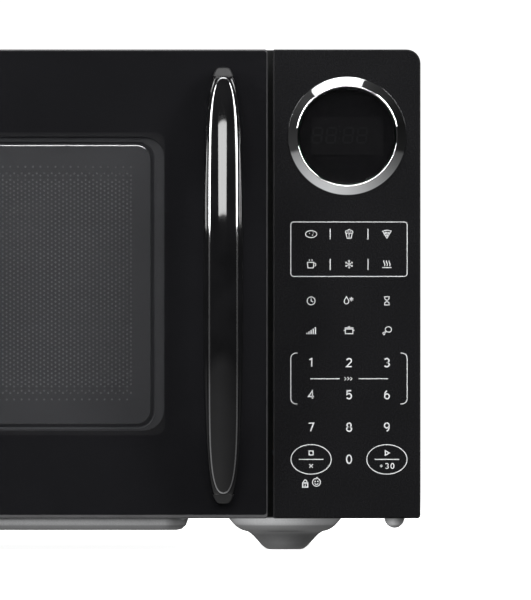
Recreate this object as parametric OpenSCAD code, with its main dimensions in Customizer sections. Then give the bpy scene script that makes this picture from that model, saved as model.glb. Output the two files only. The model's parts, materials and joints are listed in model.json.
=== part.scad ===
// Countertop microwave oven with a side-hung door, built as separate sheet-metal, plastic,
// glass and electrical pieces. Millimetres, +Z up, the door faces -Y. The origin lies on the
// resting plane, under the middle of the oven.

/* [Body] */
// Overall width of the cabinet
body_w = 485; // [480:1:500]
// Overall height, from the resting plane to the top
body_h = 289; // [287:1:300]
// Overall depth, from the handle's front to the rear spacers
body_d = 400; // [396:1:420]
// Height of the drawn legs
leg_h = 18.5; // [17:0.5:20]
// Radius of the upper cabinet corners
corner_r = 8; // [6:1:10]
// Thickness of the steel sheet
sheet = 1; // [0.8:0.1:1.2]

/* [Door and control panel] */
// Width of the control panel
panel_w = 85; // [80:1:88]
// Gap between the door and the control panel
door_gap = 3; // [2:0.5:4]
// Thickness of the door
door_t = 32; // [30:1:34]
// How far the handle stands out from the door
handle_reach = 38; // [34:1:42]
// Outer radius of the round display bezel
bezel_r = 34.2; // [30:0.1:36]

/* [Oven cavity] */
// Inner width of the cavity
cavity_w = 310; // [300:1:314]
// Inner height of the cavity
cavity_h = 222; // [210:1:224]
// Inner depth of the cavity
cavity_d = 306; // [300:1:308]
// Diameter of the glass turntable
tray_d = 270; // [250:1:280]

/* [Hidden] */
arc_steps = 6;   // straight steps in each rounded sheet corner
smooth_fn = 48;  // fineness of turned pieces
fit = 0.06;      // radial clearance of a running fit

// Main planes. Door, control panel and cabinet share the same lower and upper edge.
x_left = -body_w / 2;
x_right = body_w / 2;
z_low = leg_h;
z_top = body_h;
y_front = -body_d / 2 + handle_reach;  // front face of door and control panel
y_seal = y_front + door_t;             // front face of the front plate
y_rear = body_d / 2 - 10;              // outer face of the back plate
y_wrap = y_seal + sheet + 0.2;         // front edge of the wrap cover
flange_w = 12;                         // lips of the wrap cover

// Door and control panel edges
panel_x0 = x_right - panel_w;
door_x1 = panel_x0 - door_gap;
door_back = y_seal - 1;                // rear face of the door, 1 mm off the front plate

// Cavity
cav_x1 = 104;
cav_x0 = cav_x1 - cavity_w;
cav_z0 = z_low + 25.5;
cav_z1 = cav_z0 + cavity_h;
cav_y0 = y_seal + sheet;
cav_y1 = y_seal + cavity_d;
track_drop = 2;                        // depth of the round track in the floor
track_r = 104;

// Door window: clear opening in the print, and the smaller opening of the frame behind it
win_x0 = x_left + 45;
win_x1 = door_x1 - 59.3;
win_z0 = z_low + 48.1;
win_z1 = z_low + 222.8;
win_r = 6;
lip_x = 0.6;
lip_z = 2.6;
lip_r = 12;

// Hinge axis of the door
pivot = [x_left + 9, y_seal - 16];
pin_r = 3;
hinge_eye_r = 7;
hinge_t = 2;
pin_h = 9.5;
tab_h = 24;
upper_hinge_z = z_top - 8;             // lower faces of the two hinge plates
lower_hinge_z = z_low + 1.2;

// Layers through the door, from front to back
glass_t = 2.7;
mask_t = 0.3;
y_glass = y_front + glass_t;
y_frame = y_glass + mask_t;
frame_wall = 2.5;
y_screen = y_front + 11;               // front of the perforated sheet
y_flange = door_back - 4;              // front of the screen's rim
choke_t = 3;

// Handle: a bowed bar, drawn by formula
handle_x = door_x1 - 25.7;
handle_z = z_low + 134.4;
handle_half = 126;
face_half = 120;
face_w = 8.4;
back_w = 11.7;
grip_gap = 22;
screw_dz = 113;

// Latch
hook_x = 129;
hook_t = 4;
hook_tip = y_seal + 22;
upper_hook = [197, 229];               // lowest and highest z of each hook
lower_hook = [94, 112];
hook_lift = 4;
slot_x = [124.5, 137];

// Display
disp = [x_right - 42.3, z_low + 220.6];

// Turntable
tt = [(cav_x0 + cav_x1) / 2, (cav_y0 + cav_y1) / 2 + 2];
track_z = cav_z0 - track_drop;
wheel_r = 7.8;
axle_z = track_z + 8;
wheel_at = 97.5;
wheel_w = 6;
tray_z = track_z + 16;

// Electrical compartment, right of the cavity
bay_x0 = cav_x1 + sheet;
bay_x1 = x_right - sheet;
bay_z0 = z_low + sheet;
fan = [184, 170];                      // fan axis in x and z
fan_r = 48;
mag = [62, 226];                       // magnetron axis in y and z
cord_at = [128, 48];
switch_x = [hook_x - 5.15, hook_x + 5.15];

// ---------------------------------------------------------------- helpers

// A box between two opposite corners
module box(a, b) translate(a) cube(b - a);

// Points of a rectangle with rounded corners. Radii: [lower left, lower right, upper right, upper left]
function arc(c, r, a0, n) = [for (i = [0:n]) c + r * [cos(a0 + 90 * i / n), sin(a0 + 90 * i / n)]];
function round_rect(x0, y0, x1, y1, r, n = arc_steps) = concat(
    r[0] > 0 ? arc([x0 + r[0], y0 + r[0]], r[0], 180, n) : [[x0, y0]],
    r[1] > 0 ? arc([x1 - r[1], y0 + r[1]], r[1], 270, n) : [[x1, y0]],
    r[2] > 0 ? arc([x1 - r[2], y1 - r[2]], r[2], 0, n) : [[x1, y1]],
    r[3] > 0 ? arc([x0 + r[3], y1 - r[3]], r[3], 90, n) : [[x0, y1]]);
module rrect(x0, y0, x1, y1, r) polygon(round_rect(x0, y0, x1, y1, [r, r, r, r]));

// Slot with round ends, long side along 2D x or y
module slot(c, w, h) {
    r = min(w, h) / 2;
    polygon(round_rect(c[0] - w / 2, c[1] - h / 2, c[0] + w / 2, c[1] + h / 2, [r, r, r, r], 4));
}

// Extrude a drawing made in (x, z) between two y planes, and one made in (y, z) between two x planes
module along_y(y0, y1) translate([0, y1, 0]) rotate([90, 0, 0]) linear_extrude(y1 - y0) children();
module along_x(x0, x1) translate([x0, 0, 0]) rotate([90, 0, 90]) linear_extrude(x1 - x0) children();
module along_z(z0, z1) translate([0, 0, z0]) linear_extrude(z1 - z0) children();

// Round bars along each axis: p is the centre in the other two coordinates
module rod_x(p, r, x0, x1) translate([x0, p[0], p[1]]) rotate([0, 90, 0])
    cylinder(r = r, h = x1 - x0, $fn = smooth_fn);
module rod_y(p, r, y0, y1) translate([p[0], y1, p[1]]) rotate([90, 0, 0])
    cylinder(r = r, h = y1 - y0, $fn = smooth_fn);
module rod_z(p, r, z0, z1) translate([p[0], p[1], z0]) cylinder(r = r, h = z1 - z0, $fn = smooth_fn);

// A turned piece about an axis along Y through (x, z): profile points are [radius, y]
module turned_y(p, profile) translate([p[0], 0, p[1]]) rotate([-90, 0, 0]) rotate_extrude($fn = smooth_fn)
    polygon(profile);

function smooth(t) = let (u = min(1, max(0, t))) u * u * (3 - 2 * u);

// A closed tube or bar skinned over rings of points, each ring with the same number of points
module skin(rings) {
    n = len(rings[0]);
    m = len(rings);
    points = [for (r = rings) each r];
    sides = [for (i = [0:m - 2], j = [0:n - 1]) let (k = (j + 1) % n)
        each [[i * n + j, i * n + k, (i + 1) * n + j], [i * n + k, (i + 1) * n + k, (i + 1) * n + j]]];
    caps = [[for (j = [n - 1:-1:0]) j], [for (j = [0:n - 1]) (m - 1) * n + j]];
    polyhedron(points, concat(sides, caps));
}

// A wire of constant radius along a smooth route through hand-chosen points
function unit(v) = v / norm(v);
function mix(p, i, t) = let (
        a = p[max(0, i - 1)], b = p[i], c = p[i + 1], d = p[min(len(p) - 1, i + 2)])
    0.5 * (2 * b + (c - a) * t + (2 * a - 5 * b + 4 * c - d) * t * t + (3 * b - a - 3 * c + d) * t * t * t);
function route(p, steps) = concat(
    [for (i = [0:len(p) - 2], s = [0:steps - 1]) mix(p, i, s / steps)], [p[len(p) - 1]]);
function ring(c, dir, r, sides) = let (
        helper = abs(dir[0]) > 0.9 ? [0, 1, 0] : [1, 0, 0],
        u = unit(cross(dir, helper)),
        v = cross(dir, u))
    [for (j = [0:sides - 1]) c + r * (cos(360 * j / sides) * v + sin(360 * j / sides) * u)];
module wire(points, r, steps = 5, sides = 8) {
    c = route(points, steps);
    last = len(c) - 1;
    skin([for (i = [0:last]) ring(c[i], unit(c[min(last, i + 1)] - c[max(0, i - 1)]), r, sides)]);
}

// ---------------------------------------------------------------- cabinet

// Outline of the cabinet seen from the front, drawn in from its outer edge by d
module cabinet_outline(d) polygon(round_rect(x_left + d, z_low + 0.5 + d, x_right - d, z_top - d,
    [0, 0, corner_r - d, corner_r - d]));

// One block of vent slots in a side wall, drawn in (y, z)
module vent_block(y0, z0, columns, rows) for (i = [0:columns - 1], j = [0:rows - 1])
    slot([y0 + i * 22, z0 + j * 8], 17, 3.2);

module wrap_cover() color([0.03, 0.03, 0.035]) {
    difference() {
        along_y(y_wrap, y_rear + sheet) cabinet_outline(0);
        along_y(y_wrap - 1, y_rear) difference() {
            cabinet_outline(sheet);
        }
        box([x_left + sheet, y_wrap - 1, z_low], [x_right - sheet, y_rear, z_low + 3]);
        box([x_left + flange_w, y_rear - 1, z_low], [x_right - flange_w, y_rear + 2, z_top - flange_w]);
        along_x(x_right - 2, x_right + 1) {
            vent_block(-88, 62, 4, 8);
            vent_block(64, 62, 4, 6);
        }
        along_x(x_left - 1, x_left + 2) vent_block(72, 150, 4, 9);
        for (p = screw_places) rod_y(p, 2, y_rear - 1, y_rear + 2);
    }
}

screw_places = [for (x = [-1, 0, 1]) [x * (body_w / 2 - 6), z_top - 6], for (s = [-1, 1], z = [60, 210])
    [s * (body_w / 2 - 6), z]];

// Cross-section of a drawn leg: height of the sheet's lower face at radius r
leg_r = 32.9;
leg_foot_r = 9;
leg_flare_r = 21;
leg_flare_h = 8;
function leg_z(r) = (leg_h - leg_flare_h) * smooth((r - leg_foot_r) / 14)
    + leg_flare_h * pow(max(0, r - leg_flare_r) / (leg_r - leg_flare_r), 2.2);
leg_outline = [for (i = [0:18]) let (r = leg_foot_r + i * (leg_r - leg_foot_r) / 18) [r, leg_z(r)]];
leg_places = [for (s = [-1, 1], y = [-95, 128]) [s * 164.4, y]];

// A drawn leg: the sheet follows the outline and stays one sheet thick
module leg() rotate_extrude($fn = smooth_fn) polygon(concat(
    [[0, 0]], leg_outline, [for (i = [18:-1:0]) leg_outline[i] + [0, sheet]], [[0, sheet]]));

// The shallow tray pressed down under the cavity, with rounded lower edges
bulge = [[cav_x0 + 2, -124], [108, 150]];
bulge_z = z_low - 7.2;
bulge_edge = 6;
module bulge_solid(d) intersection() {
    hull() for (x = [bulge[0][0] + 16, bulge[1][0] - 16], y = [bulge[0][1] + 16, bulge[1][1] - 16])
        translate([x, y, bulge_z + bulge_edge]) {
            cylinder(r = 16 - d, h = 8, $fn = 32);
            for (k = [0, 0.35, 0.7, 1]) translate([0, 0, -(bulge_edge - d) * sin(90 * k)])
                cylinder(r = 16 - bulge_edge + (bulge_edge - d) * cos(90 * k), h = 1, $fn = 32);
        }
    box([-body_w, -body_d, 0], [body_w, body_d, z_low + sheet]);
}

module base_plate() color([0.45, 0.46, 0.47]) {
    inset = sheet + 0.1;
    difference() {
        union() {
            box([x_left + inset, y_seal + sheet, z_low], [x_right - inset, y_rear - sheet, z_low + sheet]);
            for (s = [-1, 1]) box([s > 0 ? x_right - inset - sheet : x_left + inset, y_seal + sheet, z_low],
                [s > 0 ? x_right - inset : x_left + inset + sheet, y_rear - sheet, z_low + 11]);
            bulge_solid(0);
        }
        bulge_solid(sheet);
        for (p = leg_places) rod_z(p, leg_r - 0.01, z_low - 1, z_low + sheet + 1);
        for (s = [-1, 1]) rod_z([s * 227.8, -112], 5.8, z_low - 1, z_low + sheet + 1);
        along_z(0, z_low + 2) for (i = [-3:3], j = [0, 1]) slot([tt[0] + i * 26, 96 + j * 22], 18, 4);
        along_z(0, z_low + 2) for (i = [-1:1], j = [0:5]) slot([165 + i * 26, -38 + j * 11], 18, 4);
    }
    for (p = leg_places) translate([p[0], p[1], 0]) leg();
    for (s = [-1, 1]) translate([s * 227.8, -112, z_low]) rotate_extrude($fn = smooth_fn) polygon(concat(
        [for (i = [0:6]) [5.8 * cos(15 * i), -6 * sin(15 * i)]],
        [for (i = [6:-1:0]) [(5.8 - sheet) * cos(15 * i), sheet - 6 * sin(15 * i)]], [[5.8, sheet]]));
}

// Rear spacers keep the oven off the wall
spacer_h = 10;
module rear_spacer(p) turned_y(p, [
    [0, y_rear + spacer_h], [7, y_rear + spacer_h], [9.4, y_rear + spacer_h - 1],
    [12, y_rear], [12, y_rear - sheet], [11, y_rear - sheet],
    [8.4, y_rear + spacer_h - 2], [0, y_rear + spacer_h - 2]]);
spacer_places = [[-150, 236], [150, 252]];

module back_plate() color([0.35, 0.36, 0.37]) {
    inset = sheet + 0.1;
    along_y(y_rear - sheet, y_rear) difference() {
        polygon(round_rect(x_left + inset, z_low + sheet + 0.1, x_right - inset, z_top - inset,
            [0, 0, corner_r - inset, corner_r - inset]));
        for (i = [-6:6], j = [-6:6]) let (p = [i * 8 + (j % 2 == 0 ? 0 : 4), j * 7])
            if (norm(p) < 44) translate(fan + p) circle(2.5, $fn = 20);
        for (i = [0:4], j = [0:7]) slot([-190 + i * 22, 90 + j * 9], 17, 3.6);
        translate(cord_at) circle(8.5, $fn = 40);
        for (p = screw_places) translate(p) circle(1.95, $fn = 24);
        for (p = spacer_places) translate(p) circle(12 - 0.01, $fn = 40);
    }
    for (p = spacer_places) rear_spacer(p);
}

// Snap-in bush in the back plate where the supply cord enters
module cord_gland() color([0.08, 0.08, 0.08]) difference() {
    union() {
        rod_y(cord_at, 8.4, y_rear - 8, y_rear + 0.01);
        rod_y(cord_at, 11, y_rear, y_rear + 4);
    }
    rod_y(cord_at, 4, y_rear - 9, y_rear + 5);
}

module cabinet_screws() color([0.12, 0.12, 0.12]) for (p = screw_places) difference() {
    union() {
        rod_y(p, 1.85, y_rear - 6, y_rear + sheet + 0.01);
        turned_y(p, [[0, y_rear + sheet], [4, y_rear + sheet], [3.9, y_rear + sheet + 1.2],
            [3, y_rear + sheet + 2.2], [0, y_rear + sheet + 2.6]]);
    }
    for (a = [0, 90]) translate([p[0], y_rear + sheet + 1.2, p[1]]) rotate([0, a, 0])
        translate([-2.2, 0, -0.4]) cube([4.4, 3, 0.8]);
}

module latch_slots() for (h = [upper_hook, lower_hook])
    rrect(slot_x[0], h[0] - 3, slot_x[1], h[1] + hook_lift + 3, 2);

// Pressed steel face round the cavity opening, with the latch slots and hinge notches
module front_plate() color([0.42, 0.43, 0.44]) along_y(y_seal, y_seal + sheet) difference() {
    polygon(round_rect(x_left + 0.5, z_low + 0.5, panel_x0 - 0.05, z_top - 0.5,
        [0, 0, 0, corner_r - 1]));
    rrect(cav_x0, cav_z0, cav_x1, cav_z1, 6);
    latch_slots();
    for (z = [upper_hinge_z, lower_hinge_z])
        translate([pivot[0] - hinge_eye_r - 0.2, z - 0.2]) square([2 * hinge_eye_r + 0.4, hinge_t + 0.4]);
}

// ---------------------------------------------------------------- cavity

// Small round vent holes in a hexagonal field, drawn in (y, z)
module hole_field(y0, z0, columns, rows, r = 1.6, pitch = 5) for (i = [0:columns - 1], j = [0:rows - 1])
    translate([y0 + i * pitch + (j % 2 == 0 ? 0 : pitch / 2), z0 + j * pitch * 0.87]) circle(r, $fn = 16);

inlet_field = [-72, 208];
lamp_field = [98, 148];
feed = [[2, 204], [42, 248]];          // microwave opening in the right wall, in (y, z)

module cavity() color([0.62, 0.62, 0.6]) {
    difference() {
        box([cav_x0 - sheet, cav_y0, cav_z0 - sheet], [cav_x1 + sheet, cav_y1 + sheet, cav_z0]);
        rod_z(tt, track_r, cav_z0 - 2, cav_z0 + 1);
    }
    translate([tt[0], tt[1], 0]) rotate_extrude($fn = 96) polygon([
        [8, track_z - sheet], [track_r + sheet, track_z - sheet], [track_r + sheet, cav_z0],
        [track_r, cav_z0], [track_r - 1, track_z], [8, track_z]]);
    box([cav_x0 - sheet, cav_y0, cav_z1], [cav_x1 + sheet, cav_y1 + sheet, cav_z1 + sheet]);
    box([cav_x0 - sheet, cav_y1, cav_z0 - sheet], [cav_x1 + sheet, cav_y1 + sheet, cav_z1 + sheet]);
    along_x(cav_x0 - sheet, cav_x0) difference() {
        translate([cav_y0, cav_z0 - sheet]) square([cav_y1 - cav_y0 + sheet, cavity_h + 2 * sheet]);
        hole_field(110, 200, 9, 8);
    }
    along_x(cav_x1, cav_x1 + sheet) difference() {
        translate([cav_y0, cav_z0 - sheet]) square([cav_y1 - cav_y0 + sheet, cavity_h + 2 * sheet]);
        hole_field(inlet_field[0], inlet_field[1], 10, 8);
        hole_field(lamp_field[0], lamp_field[1], 6, 6);
        translate(feed[0]) square(feed[1] - feed[0]);
    }
}

// ---------------------------------------------------------------- hinges

// A flat plate with a round eye and a pin, carried by a tab behind the front plate. z0 is the plate's
// lower face and way is 1 where the tab and the pin stand above it, -1 where they hang below
module hinge(z0, way) {
    tab_back = y_seal + sheet + 1.55;
    face = way > 0 ? z0 + hinge_t : z0;
    translate([0, 0, z0]) linear_extrude(hinge_t) {
        translate(pivot) circle(hinge_eye_r, $fn = smooth_fn);
        translate([pivot[0] - hinge_eye_r, pivot[1]]) square([2 * hinge_eye_r, y_seal + sheet - pivot[1]]);
        translate([pivot[0] - hinge_eye_r + 1.4, y_seal + sheet]) square([24, tab_back - y_seal - sheet]);
    }
    box([pivot[0] - hinge_eye_r + 1.4, y_seal + sheet + 0.05, min(z0, face + way * tab_h)],
        [pivot[0] - hinge_eye_r + 25.4, tab_back, max(z0 + hinge_t, face + way * tab_h)]);
    rod_z(pivot, pin_r, min(face, face + way * pin_h) - 0.01, max(face, face + way * pin_h) + 0.01);
}
module upper_hinge() color([0.55, 0.56, 0.57]) hinge(upper_hinge_z, -1);
module lower_hinge() color([0.55, 0.56, 0.57]) hinge(lower_hinge_z, 1);

// ---------------------------------------------------------------- door

// Door outline seen from the front, drawn in by d
module door_outline(d) polygon(round_rect(x_left + d, z_low + d, door_x1 - d, z_top - d,
    [max(0.5, 2 - d), max(0.5, 2 - d), max(0.5, 2 - d), max(0.5, corner_r - d)]));

// Door outline seen from above: the rear left corner is round, to clear the front plate as it swings
module door_plan() polygon(round_rect(x_left, y_front, door_x1, door_back, [0, 0, 0, 6.3]));

// Clear openings of the frame behind the glass
module lip_opening() rrect(win_x0 + lip_x, win_z0 + lip_z, win_x1 - lip_x, win_z1 - lip_z, lip_r);
module window_opening() rrect(win_x0, win_z0, win_x1, win_z1, win_r);

module handle_screw_holes(r, y0, y1) for (s = [-1, 1])
    rod_y([handle_x, handle_z + s * screw_dz], r, y0, y1);

// Room for the hinge plates at the top and the bottom of the door, over the whole swing
hinge_spans = [[z_low - 1, lower_hinge_z + hinge_t + 0.3], [upper_hinge_z - 0.3, z_top + 1]];
module hinge_notches() for (z = hinge_spans)
    box([x_left - 1, pivot[1] - 11.2, z[0]], [pivot[0] + 7.6, door_back + 1, z[1]]);

module door_frame() color([0.05, 0.05, 0.055]) {
    boss = [pivot[0] - 7.5, pivot[0] + 7];
    difference() {
        intersection() {
            union() {
                along_y(y_frame, door_back - 2) difference() {
                    door_outline(0);
                    door_outline(frame_wall);
                }
                along_y(y_frame, y_frame + frame_wall) difference() {
                    door_outline(0);
                    lip_opening();
                }
                for (z = [[z_low + 1, z_low + 20], [z_top - 20, z_top - 1]])
                    box([boss[0], y_frame + 1, z[0]], [boss[1], door_back - 2, z[1]]);
            }
            along_z(0, 400) door_plan();
        }
        hinge_notches();
        rod_z(pivot, pin_r + fit, 0, 400);
        handle_screw_holes(2.1, y_front, y_frame + 5);
    }
    // guides of the latch bar
    for (z = [118, 190], x = [hook_x - 3.3, hook_x + 3.3])
        box([x - 1, y_frame + frame_wall - 0.01, z], [x + 1, y_frame + 13, z + 8]);
    // spring post
    box([hook_x + 9, y_frame + frame_wall - 0.01, 132], [hook_x + 13, y_frame + 12, 135]);
}

module door_mask() color([0.01, 0.01, 0.01]) difference() {
    along_y(y_glass, y_frame) difference() {
        door_outline(1.2);
        window_opening();
    }
    handle_screw_holes(2.1, y_front, y_frame + 5);
}

module door_glass() color([0.1, 0.1, 0.11, 0.5]) difference() {
    along_y(y_front, y_glass) door_outline(0.4);
    handle_screw_holes(2.1, y_front - 1, y_frame + 5);
}

// Perforated steel screen: a pan with a rim that forms the microwave seal
screen_x = [pivot[0] + 11.5, door_x1 - 4.5];
screen_z = [z_low + 4.5, z_top - 4.5];
pan = [[win_x0 - 3, win_z0 - 2.5], [win_x1 + 3, win_z1 + 2.5]];
groove = [6.1, 8.4];                   // outer and inner edge of the pressed groove, in from the window

module hook_slots(d) for (h = [upper_hook, lower_hook])
    rrect(hook_x - 4 - d, h[0] - 2 - d, hook_x + 4 + d, h[1] + hook_lift + 2 + d, 1);

// The pan's outline, grown by d
module pan_outline(d, r) rrect(pan[0][0] - d, pan[0][1] - d, pan[1][0] + d, pan[1][1] + d, r);

module door_screen() color([0.2, 0.2, 0.21]) {
    along_y(y_flange, y_flange + sheet) difference() {
        rrect(screen_x[0], screen_z[0], screen_x[1], screen_z[1], 4);
        pan_outline(0, 5);
        hook_slots(0);
    }
    along_y(y_screen, y_flange + sheet) difference() {
        pan_outline(sheet, 6);
        pan_outline(0, 5);
    }
    difference() {
        along_y(y_screen, y_screen + 1.2) pan_outline(sheet, 6);
        along_y(y_screen - 1, y_screen + 0.6) difference() {
            rrect(win_x0 + groove[0], win_z0 + groove[0] - 2.5, win_x1 - groove[0], win_z1 - groove[0], 10);
            rrect(win_x0 + groove[1], win_z0 + groove[1] - 2.5, win_x1 - groove[1], win_z1 - groove[1], 8);
        }
    }
}

module inner_window() color([0.6, 0.65, 0.65, 0.4]) along_y(y_flange - 2, y_flange - 1.2)
    pan_outline(-0.3, 4.8);

module choke_cover() color([0.06, 0.06, 0.065]) difference() {
    union() {
        along_y(door_back - choke_t, door_back) difference() {
            rrect(screen_x[0] + 0.5, screen_z[0] + 0.5, screen_x[1] - 0.5, screen_z[1] - 0.5, 4);
            pan_outline(-2.5, 6);
            hook_slots(0.3);
        }
        along_y(y_flange - 1.1, door_back - choke_t + 0.01) difference() {
            pan_outline(-0.3, 4.8);
            pan_outline(-2.5, 6);
        }
    }
}

// Handle formulas: half widths of the front face and of the whole bar, the crest and the hollow back, at
// height dz from the bar's middle
function face_at(dz) = face_w * pow(max(0, 1 - pow(abs(dz) / face_half, 3)), 0.25);
function bar_at(dz) = back_w * pow(max(0, 1 - pow(abs(dz) / handle_half, 2.6)), 0.286);
function crest_at(dz) = 12 + (handle_reach - 12) * (1 - pow(dz / handle_half, 2));
function gap_at(dz) = grip_gap * smooth((0.86 - abs(dz) / handle_half) / 0.5);
// One cross-section, from the back corner over the crowned front and round again
function handle_ring(dz) = let (
        w = max(0.6, bar_at(dz)), f = min(w - 0.3, max(0.3, face_at(dz))), end = handle_half + 0.6,
        c = crest_at(dz) * min(1, (end - abs(dz)) / (end - face_half)),
        g = gap_at(dz), crown = 2 * f / face_w)
    [for (p = concat(
        [for (s = [-1, 0, 1]) [s * w * 0.8, g + (1 - abs(s)) * (0.1 - min(0.9, g / 3))]],
        [[w, g + (c - g) * 0.3], [(w + f) / 2 + 0.3, g + (c - g) * 0.62]],
        [for (s = [1:-0.25:-1]) [s * f, c - crown * s * s]],
        [[-(w + f) / 2 - 0.3, g + (c - g) * 0.62], [-w, g + (c - g) * 0.3]]))
        [handle_x + p[0], y_front - p[1], handle_z + dz]];
handle_steps = [for (i = [-24:24]) handle_half * sin(90 * i / 24) * 0.999];

module door_handle() color([0.03, 0.03, 0.03]) difference() {
    skin([for (dz = handle_steps) handle_ring(dz)]);
    handle_screw_holes(2.05, y_front - 10, y_front + 1);
}

module handle_screws() color([0.6, 0.6, 0.6]) for (s = [-1, 1]) {
    p = [handle_x, handle_z + s * screw_dz];
    rod_y(p, 1.95, y_front - 9.5, y_frame + frame_wall + 0.01);
    difference() {
        rod_y(p, 4, y_frame + frame_wall, y_frame + frame_wall + 2.6);
        translate([p[0] - 3, y_frame + frame_wall + 1.4, p[1] - 0.5]) cube([6, 2, 1]);
    }
}

// Latch bar inside the door, with an upper and a lower hook that pass into the latch board
bar_y = [y_frame + 4, y_frame + 9];
module hook(z) along_x(hook_x - hook_t / 2, hook_x + hook_t / 2) polygon([
    [bar_y[0], z[0] + 5], [hook_tip - 7, z[0] + 5], [hook_tip - 7, z[0]], [hook_tip - 4, z[0]],
    [hook_tip, z[0] + 5], [hook_tip, z[1]], [bar_y[0], z[1]]]);
module door_hook() color([0.85, 0.85, 0.82]) {
    hook(upper_hook);
    hook(lower_hook);
    box([hook_x - hook_t / 2, bar_y[0], lower_hook[0] + 5], [hook_x + hook_t / 2, bar_y[1], upper_hook[1]]);
    box([hook_x + hook_t / 2 - 0.01, bar_y[0], 168], [hook_x + 13, bar_y[1], 171]);
}

// Return spring between the door's post and the latch bar
spring_x = hook_x + 11;
module hook_spring() color([0.7, 0.7, 0.72]) {
    turns = 9;
    r = 1.9;
    skin([for (i = [0:turns * 12]) let (a = 30 * i, z = 135.5 + 32 * i / (turns * 12))
        ring([spring_x + r * cos(a), bar_y[0] + 2.5 + r * sin(a), z],
            unit([-sin(a), cos(a), 0.3]), 0.4, 6)]);
}

// ---------------------------------------------------------------- control panel

module panel_outline(d) polygon(round_rect(panel_x0 + d, z_low + d, x_right - d, z_top - d,
    [1, max(0.5, 2 - d), max(0.5, corner_r - d), 1]));
membrane_t = 0.6;
board_posts = [for (x = [panel_x0 + 8, x_right - 8], z = [120, 215]) [x, z]];

module control_panel() color([0.05, 0.05, 0.055]) difference() {
    union() {
        along_y(y_front + membrane_t, y_seal + sheet) difference() {
            panel_outline(0);
            panel_outline(2.5);
        }
        along_y(y_front + membrane_t, y_front + membrane_t + 2.5) panel_outline(1);
        for (p = board_posts) rod_y(p, 3, y_front + 2, y_front + 12.5);
    }
    rod_y(disp, 32, y_front, y_front + 5);
    for (p = board_posts) rod_y(p, 1.2, y_front + 5, y_front + 13);
}

module keypad_membrane() color([0.02, 0.02, 0.022]) difference() {
    along_y(y_front, y_front + membrane_t) panel_outline(0.8);
    rod_y(disp, 32.5, y_front - 1, y_front + 2);
}

module display_bezel() color([0.8, 0.8, 0.8]) turned_y(disp, [
    [28.05, y_front + 3.6], [28.05, y_front - 2.2], [28.3, y_front - 3.6], [29, y_front - 4.2],
    [29.9, y_front - 4.1], [bezel_r - 1.6, y_front - 2.2], [bezel_r, y_front - 0.6], [bezel_r, y_front],
    [31.8, y_front], [31.8, y_front + 3.6]]);

module display_lens() color([0.05, 0.05, 0.06, 0.7]) turned_y(disp, [
    [0, y_front - 1.6], [26, y_front - 1.5], [27.9, y_front - 1.0], [27.9, y_front + 1.2],
    [0, y_front + 1.2]]);

board_y = y_front + 13.1;
module display_module() color([0.08, 0.08, 0.08]) {
    box([disp[0] - 21, y_front + 4, disp[1] - 11], [disp[0] + 21, board_y, disp[1] + 11]);
}

module control_board() color([0.1, 0.35, 0.15]) difference() {
    union() {
        box([panel_x0 + 4, board_y, 104], [x_right - 4, board_y + 1.6, 262]);
        for (z = [112, 134])
            box([panel_x0 + 14, board_y + 1.59, z], [panel_x0 + 33, board_y + 17, z + 16]);
        box([panel_x0 + 42, board_y + 1.59, 112], [panel_x0 + 72, board_y + 26, 140]);
        for (x = [20, 34, 48]) rod_y([panel_x0 + x, 172], 5, board_y + 1.59, board_y + 14);
        box([panel_x0 + 56, board_y + 1.59, 170], [panel_x0 + 74, board_y + 6, 196]);
    }
    for (p = board_posts) rod_y(p, 1.2, board_y - 1, board_y + 3);
}

// ---------------------------------------------------------------- latch board and door switches

web_x = switch_x[0] - 2.7;
pin_places = [[hook_tip + 6, -1], [hook_tip + 13, 21]];
module switch_pins() for (p = pin_places) rod_x(p, 1.45, web_x + 1, switch_x[1] - 1);

// Switch places: height, and 1 where the switch stands upright or -1 where it hangs upside down
primary_at = [218.3, 1];
monitor_at = [210, -1];
secondary_at = [101, 1];
module at_switch(place) translate([0, 0, place[0]]) mirror([0, 0, place[1] < 0 ? 1 : 0]) children();

module latch_board() color([0.85, 0.84, 0.78]) {
    box([web_x, y_seal + sheet + 0.05, 78], [web_x + 2.5, hook_tip + 20, 246]);
    along_y(y_seal + sheet + 0.05, y_seal + sheet + 2.55) difference() {
        translate([web_x, 78]) square([28, 168]);
        latch_slots();
    }
    // catch ledges just under the hooks' barbs
    for (h = [upper_hook, lower_hook])
        box([web_x + 2, hook_tip - 16, h[0] - 3.2], [hook_x + 7, hook_tip - 8, h[0] - 0.4]);
    for (place = [primary_at, monitor_at, secondary_at]) at_switch(place) switch_pins();
}

// A snap-action switch: body with two mounting holes, three terminals and a hole for the plunger
module door_switch(place) at_switch(place) difference() {
    union() {
        box([switch_x[0], hook_tip + 2, -4], [switch_x[1], hook_tip + 18, 23.8]);
        for (z = [-1, 9, 19]) box([hook_x - 2, hook_tip + 17.9, z], [hook_x + 2, hook_tip + 24, z + 0.8]);
    }
    for (p = pin_places) rod_x(p, 1.55, 0, 300);
    box([hook_x - 1.6, hook_tip, 3.4], [hook_x + 1.6, hook_tip + 9, 6.6]);
}
module primary_switch() color([0.15, 0.15, 0.16]) door_switch(primary_at);
module monitor_switch() color([0.5, 0.1, 0.08]) door_switch(monitor_at);
module secondary_switch() color([0.15, 0.15, 0.16]) door_switch(secondary_at);

// Plunger that the hook's tip pushes in
module plunger(place) at_switch(place)
    box([hook_x - 1.5, hook_tip + 0.05, 3.5], [hook_x + 1.5, hook_tip + 7, 6.5]);
module primary_plunger() color([0.8, 0.2, 0.15]) plunger(primary_at);
module monitor_plunger() color([0.8, 0.8, 0.8]) plunger(monitor_at);
module secondary_plunger() color([0.8, 0.2, 0.15]) plunger(secondary_at);

// ---------------------------------------------------------------- turntable

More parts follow.
